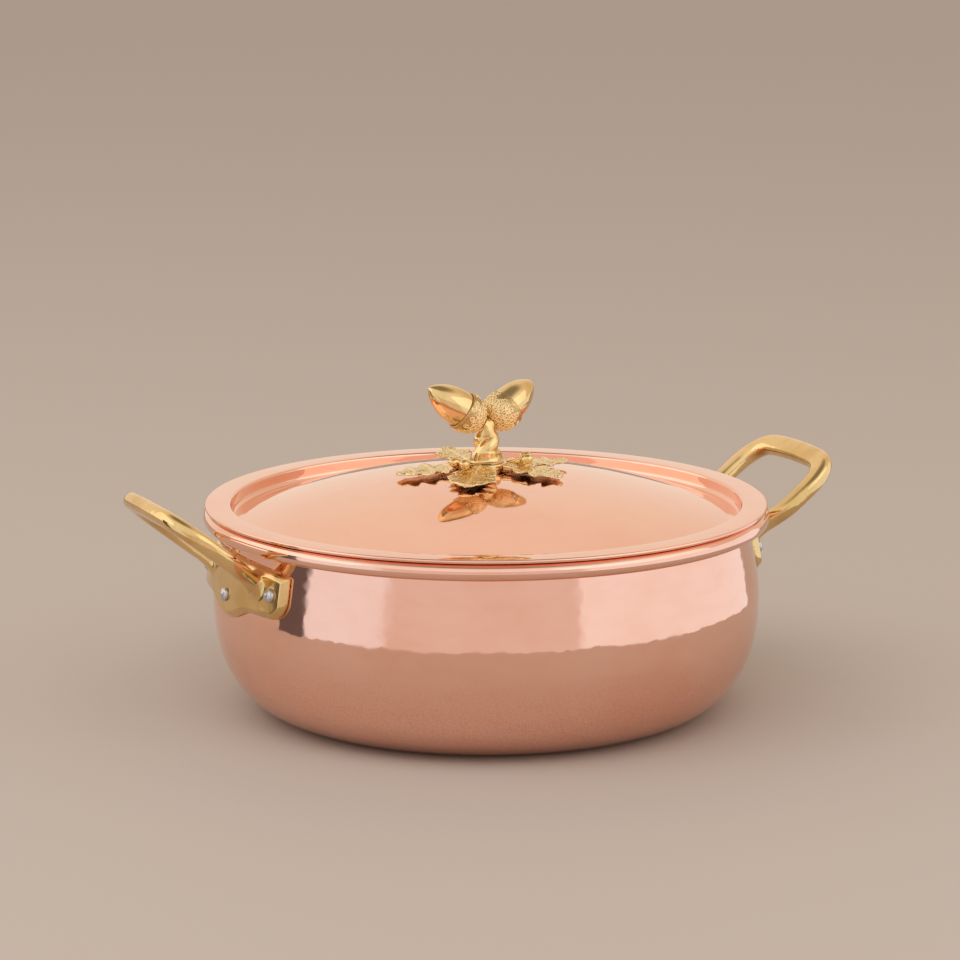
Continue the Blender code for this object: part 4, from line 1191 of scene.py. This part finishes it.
# each lamp: its name, azimuth, elevation, power in watts, and whether metal mirrors it
SOFT_BOXES = (
    ("left_box", 155.0, 24.0, 8.0, True),
    ("right_box", -48.0, 24.0, 8.0, True),
    ("top_box", -140.0, 62.0, 26.0, False),
)
BOX_DISTANCE = 2.4
BOX_WIDE = 3.2
BOX_TALL = 1.8
BOX_COLOUR = (0.95, 0.97, 1.00)
SCREEN_START = -202.0
SCREEN_END = 11.0
SCREEN_RADIUS = 0.40
SCREEN_AHEAD = 0.04
SCREEN_TALL = 0.20
SCREEN_STEPS = 72
SCREEN_DARK = (0.14, 0.11, 0.11, 1.0)
# from the screen's dark left end to its right: where a colour fades in, and the colour
SCREEN_COLOURS = (
    (-0.386, -0.380, (0.93, 0.97, 1.05, 1.0)),
    (-0.270, -0.230, (0.79, 0.69, 0.65, 1.0)),
    (0.220, 0.250, (0.99, 1.00, 1.03, 1.0)),
)

edge = [compass(tau * k / FLOOR_SIDES) * FLOOR_RADIUS for k in range(FLOOR_SIDES)]
floor = plain_piece("floor", edge, [list(range(FLOOR_SIDES))])
floor_paint, _ = start_material("floor_paint")
inputs = {"Base Color": FLOOR_COLOUR, "Roughness": FLOOR_ROUGHNESS, "Specular IOR Level": FLOOR_SHEEN}
feed(floor_paint.node_tree.nodes["Principled BSDF"], inputs)
floor.data.materials.append(floor_paint)

world = bpy.data.worlds.new("studio_sky")
bpy.context.scene.world = world
world.use_nodes = True
direction = Socket(world.node_tree, world.node_tree.nodes.new("ShaderNodeTexCoord").outputs["Generated"])
front = direction.dot(tuple(CAMERA_DIRECTION)).between(*SKY_FRONT_FADE)
back = direction.dot(tuple(CAMERA_SIDE)).between(*SKY_SIDE_FADE).blend(SKY_LEFT, SKY_RIGHT)
sky = direction.part(2).between(*SKY_TOP_FADE).blend(front.blend(back, SKY_FRONT), SKY_TOP)
feed(world.node_tree.nodes["Background"], {"Color": sky})

for name, azimuth, elevation, power, mirrored in SOFT_BOXES:
    lamp = bpy.data.lights.new(name, "AREA")
    lamp.shape = "RECTANGLE"
    lamp.size = BOX_WIDE
    lamp.size_y = BOX_TALL
    lamp.energy = power
    lamp.color = BOX_COLOUR
    aim = compass(radians(azimuth), radians(elevation))
    box = new_object(name, lamp)
    box.location = TARGET + aim * BOX_DISTANCE
    box.rotation_euler = aim.to_track_quat("Z", "Y").to_euler()
    box.visible_glossy = mirrored

points = []
for degrees in np.linspace(SCREEN_START, SCREEN_END, SCREEN_STEPS):
    foot = compass(CAMERA_AZIMUTH) * SCREEN_AHEAD + compass(radians(degrees)) * SCREEN_RADIUS
    points += [foot, foot + Vector((0.0, 0.0, SCREEN_TALL))]
strips = [(k, k + 1, k + 3, k + 2) for k in range(0, len(points) - 2, 2)]
screen = plain_piece("light_screen", points, strips)
screen_light, place = start_material("screen_light")
glow = SCREEN_DARK
for start, end, colour in SCREEN_COLOURS:
    glow = place.dot(tuple(CAMERA_SIDE)).between(start, end).blend(glow, colour)
inputs = {"Base Color": (0.0, 0.0, 0.0, 1.0), "Specular IOR Level": 0.0}
inputs |= {"Emission Color": glow, "Emission Strength": 1.0}
feed(screen_light.node_tree.nodes["Principled BSDF"], inputs)
screen.data.materials.append(screen_light)
screen.visible_camera = False
screen.visible_diffuse = False
screen.visible_shadow = False

camera = new_object("camera", bpy.data.cameras.new("camera"))
camera.location = TARGET + CAMERA_DIRECTION * CAMERA_DISTANCE
camera.rotation_euler = CAMERA_DIRECTION.to_track_quat("Z", "Y").to_euler()
camera.data.lens = CAMERA_LENS
camera.data.shift_x, camera.data.shift_y = CAMERA_SHIFT
bpy.context.scene.camera = camera
bpy.context.scene.view_settings.view_transform = "Standard"

bpy.context.view_layer.update()
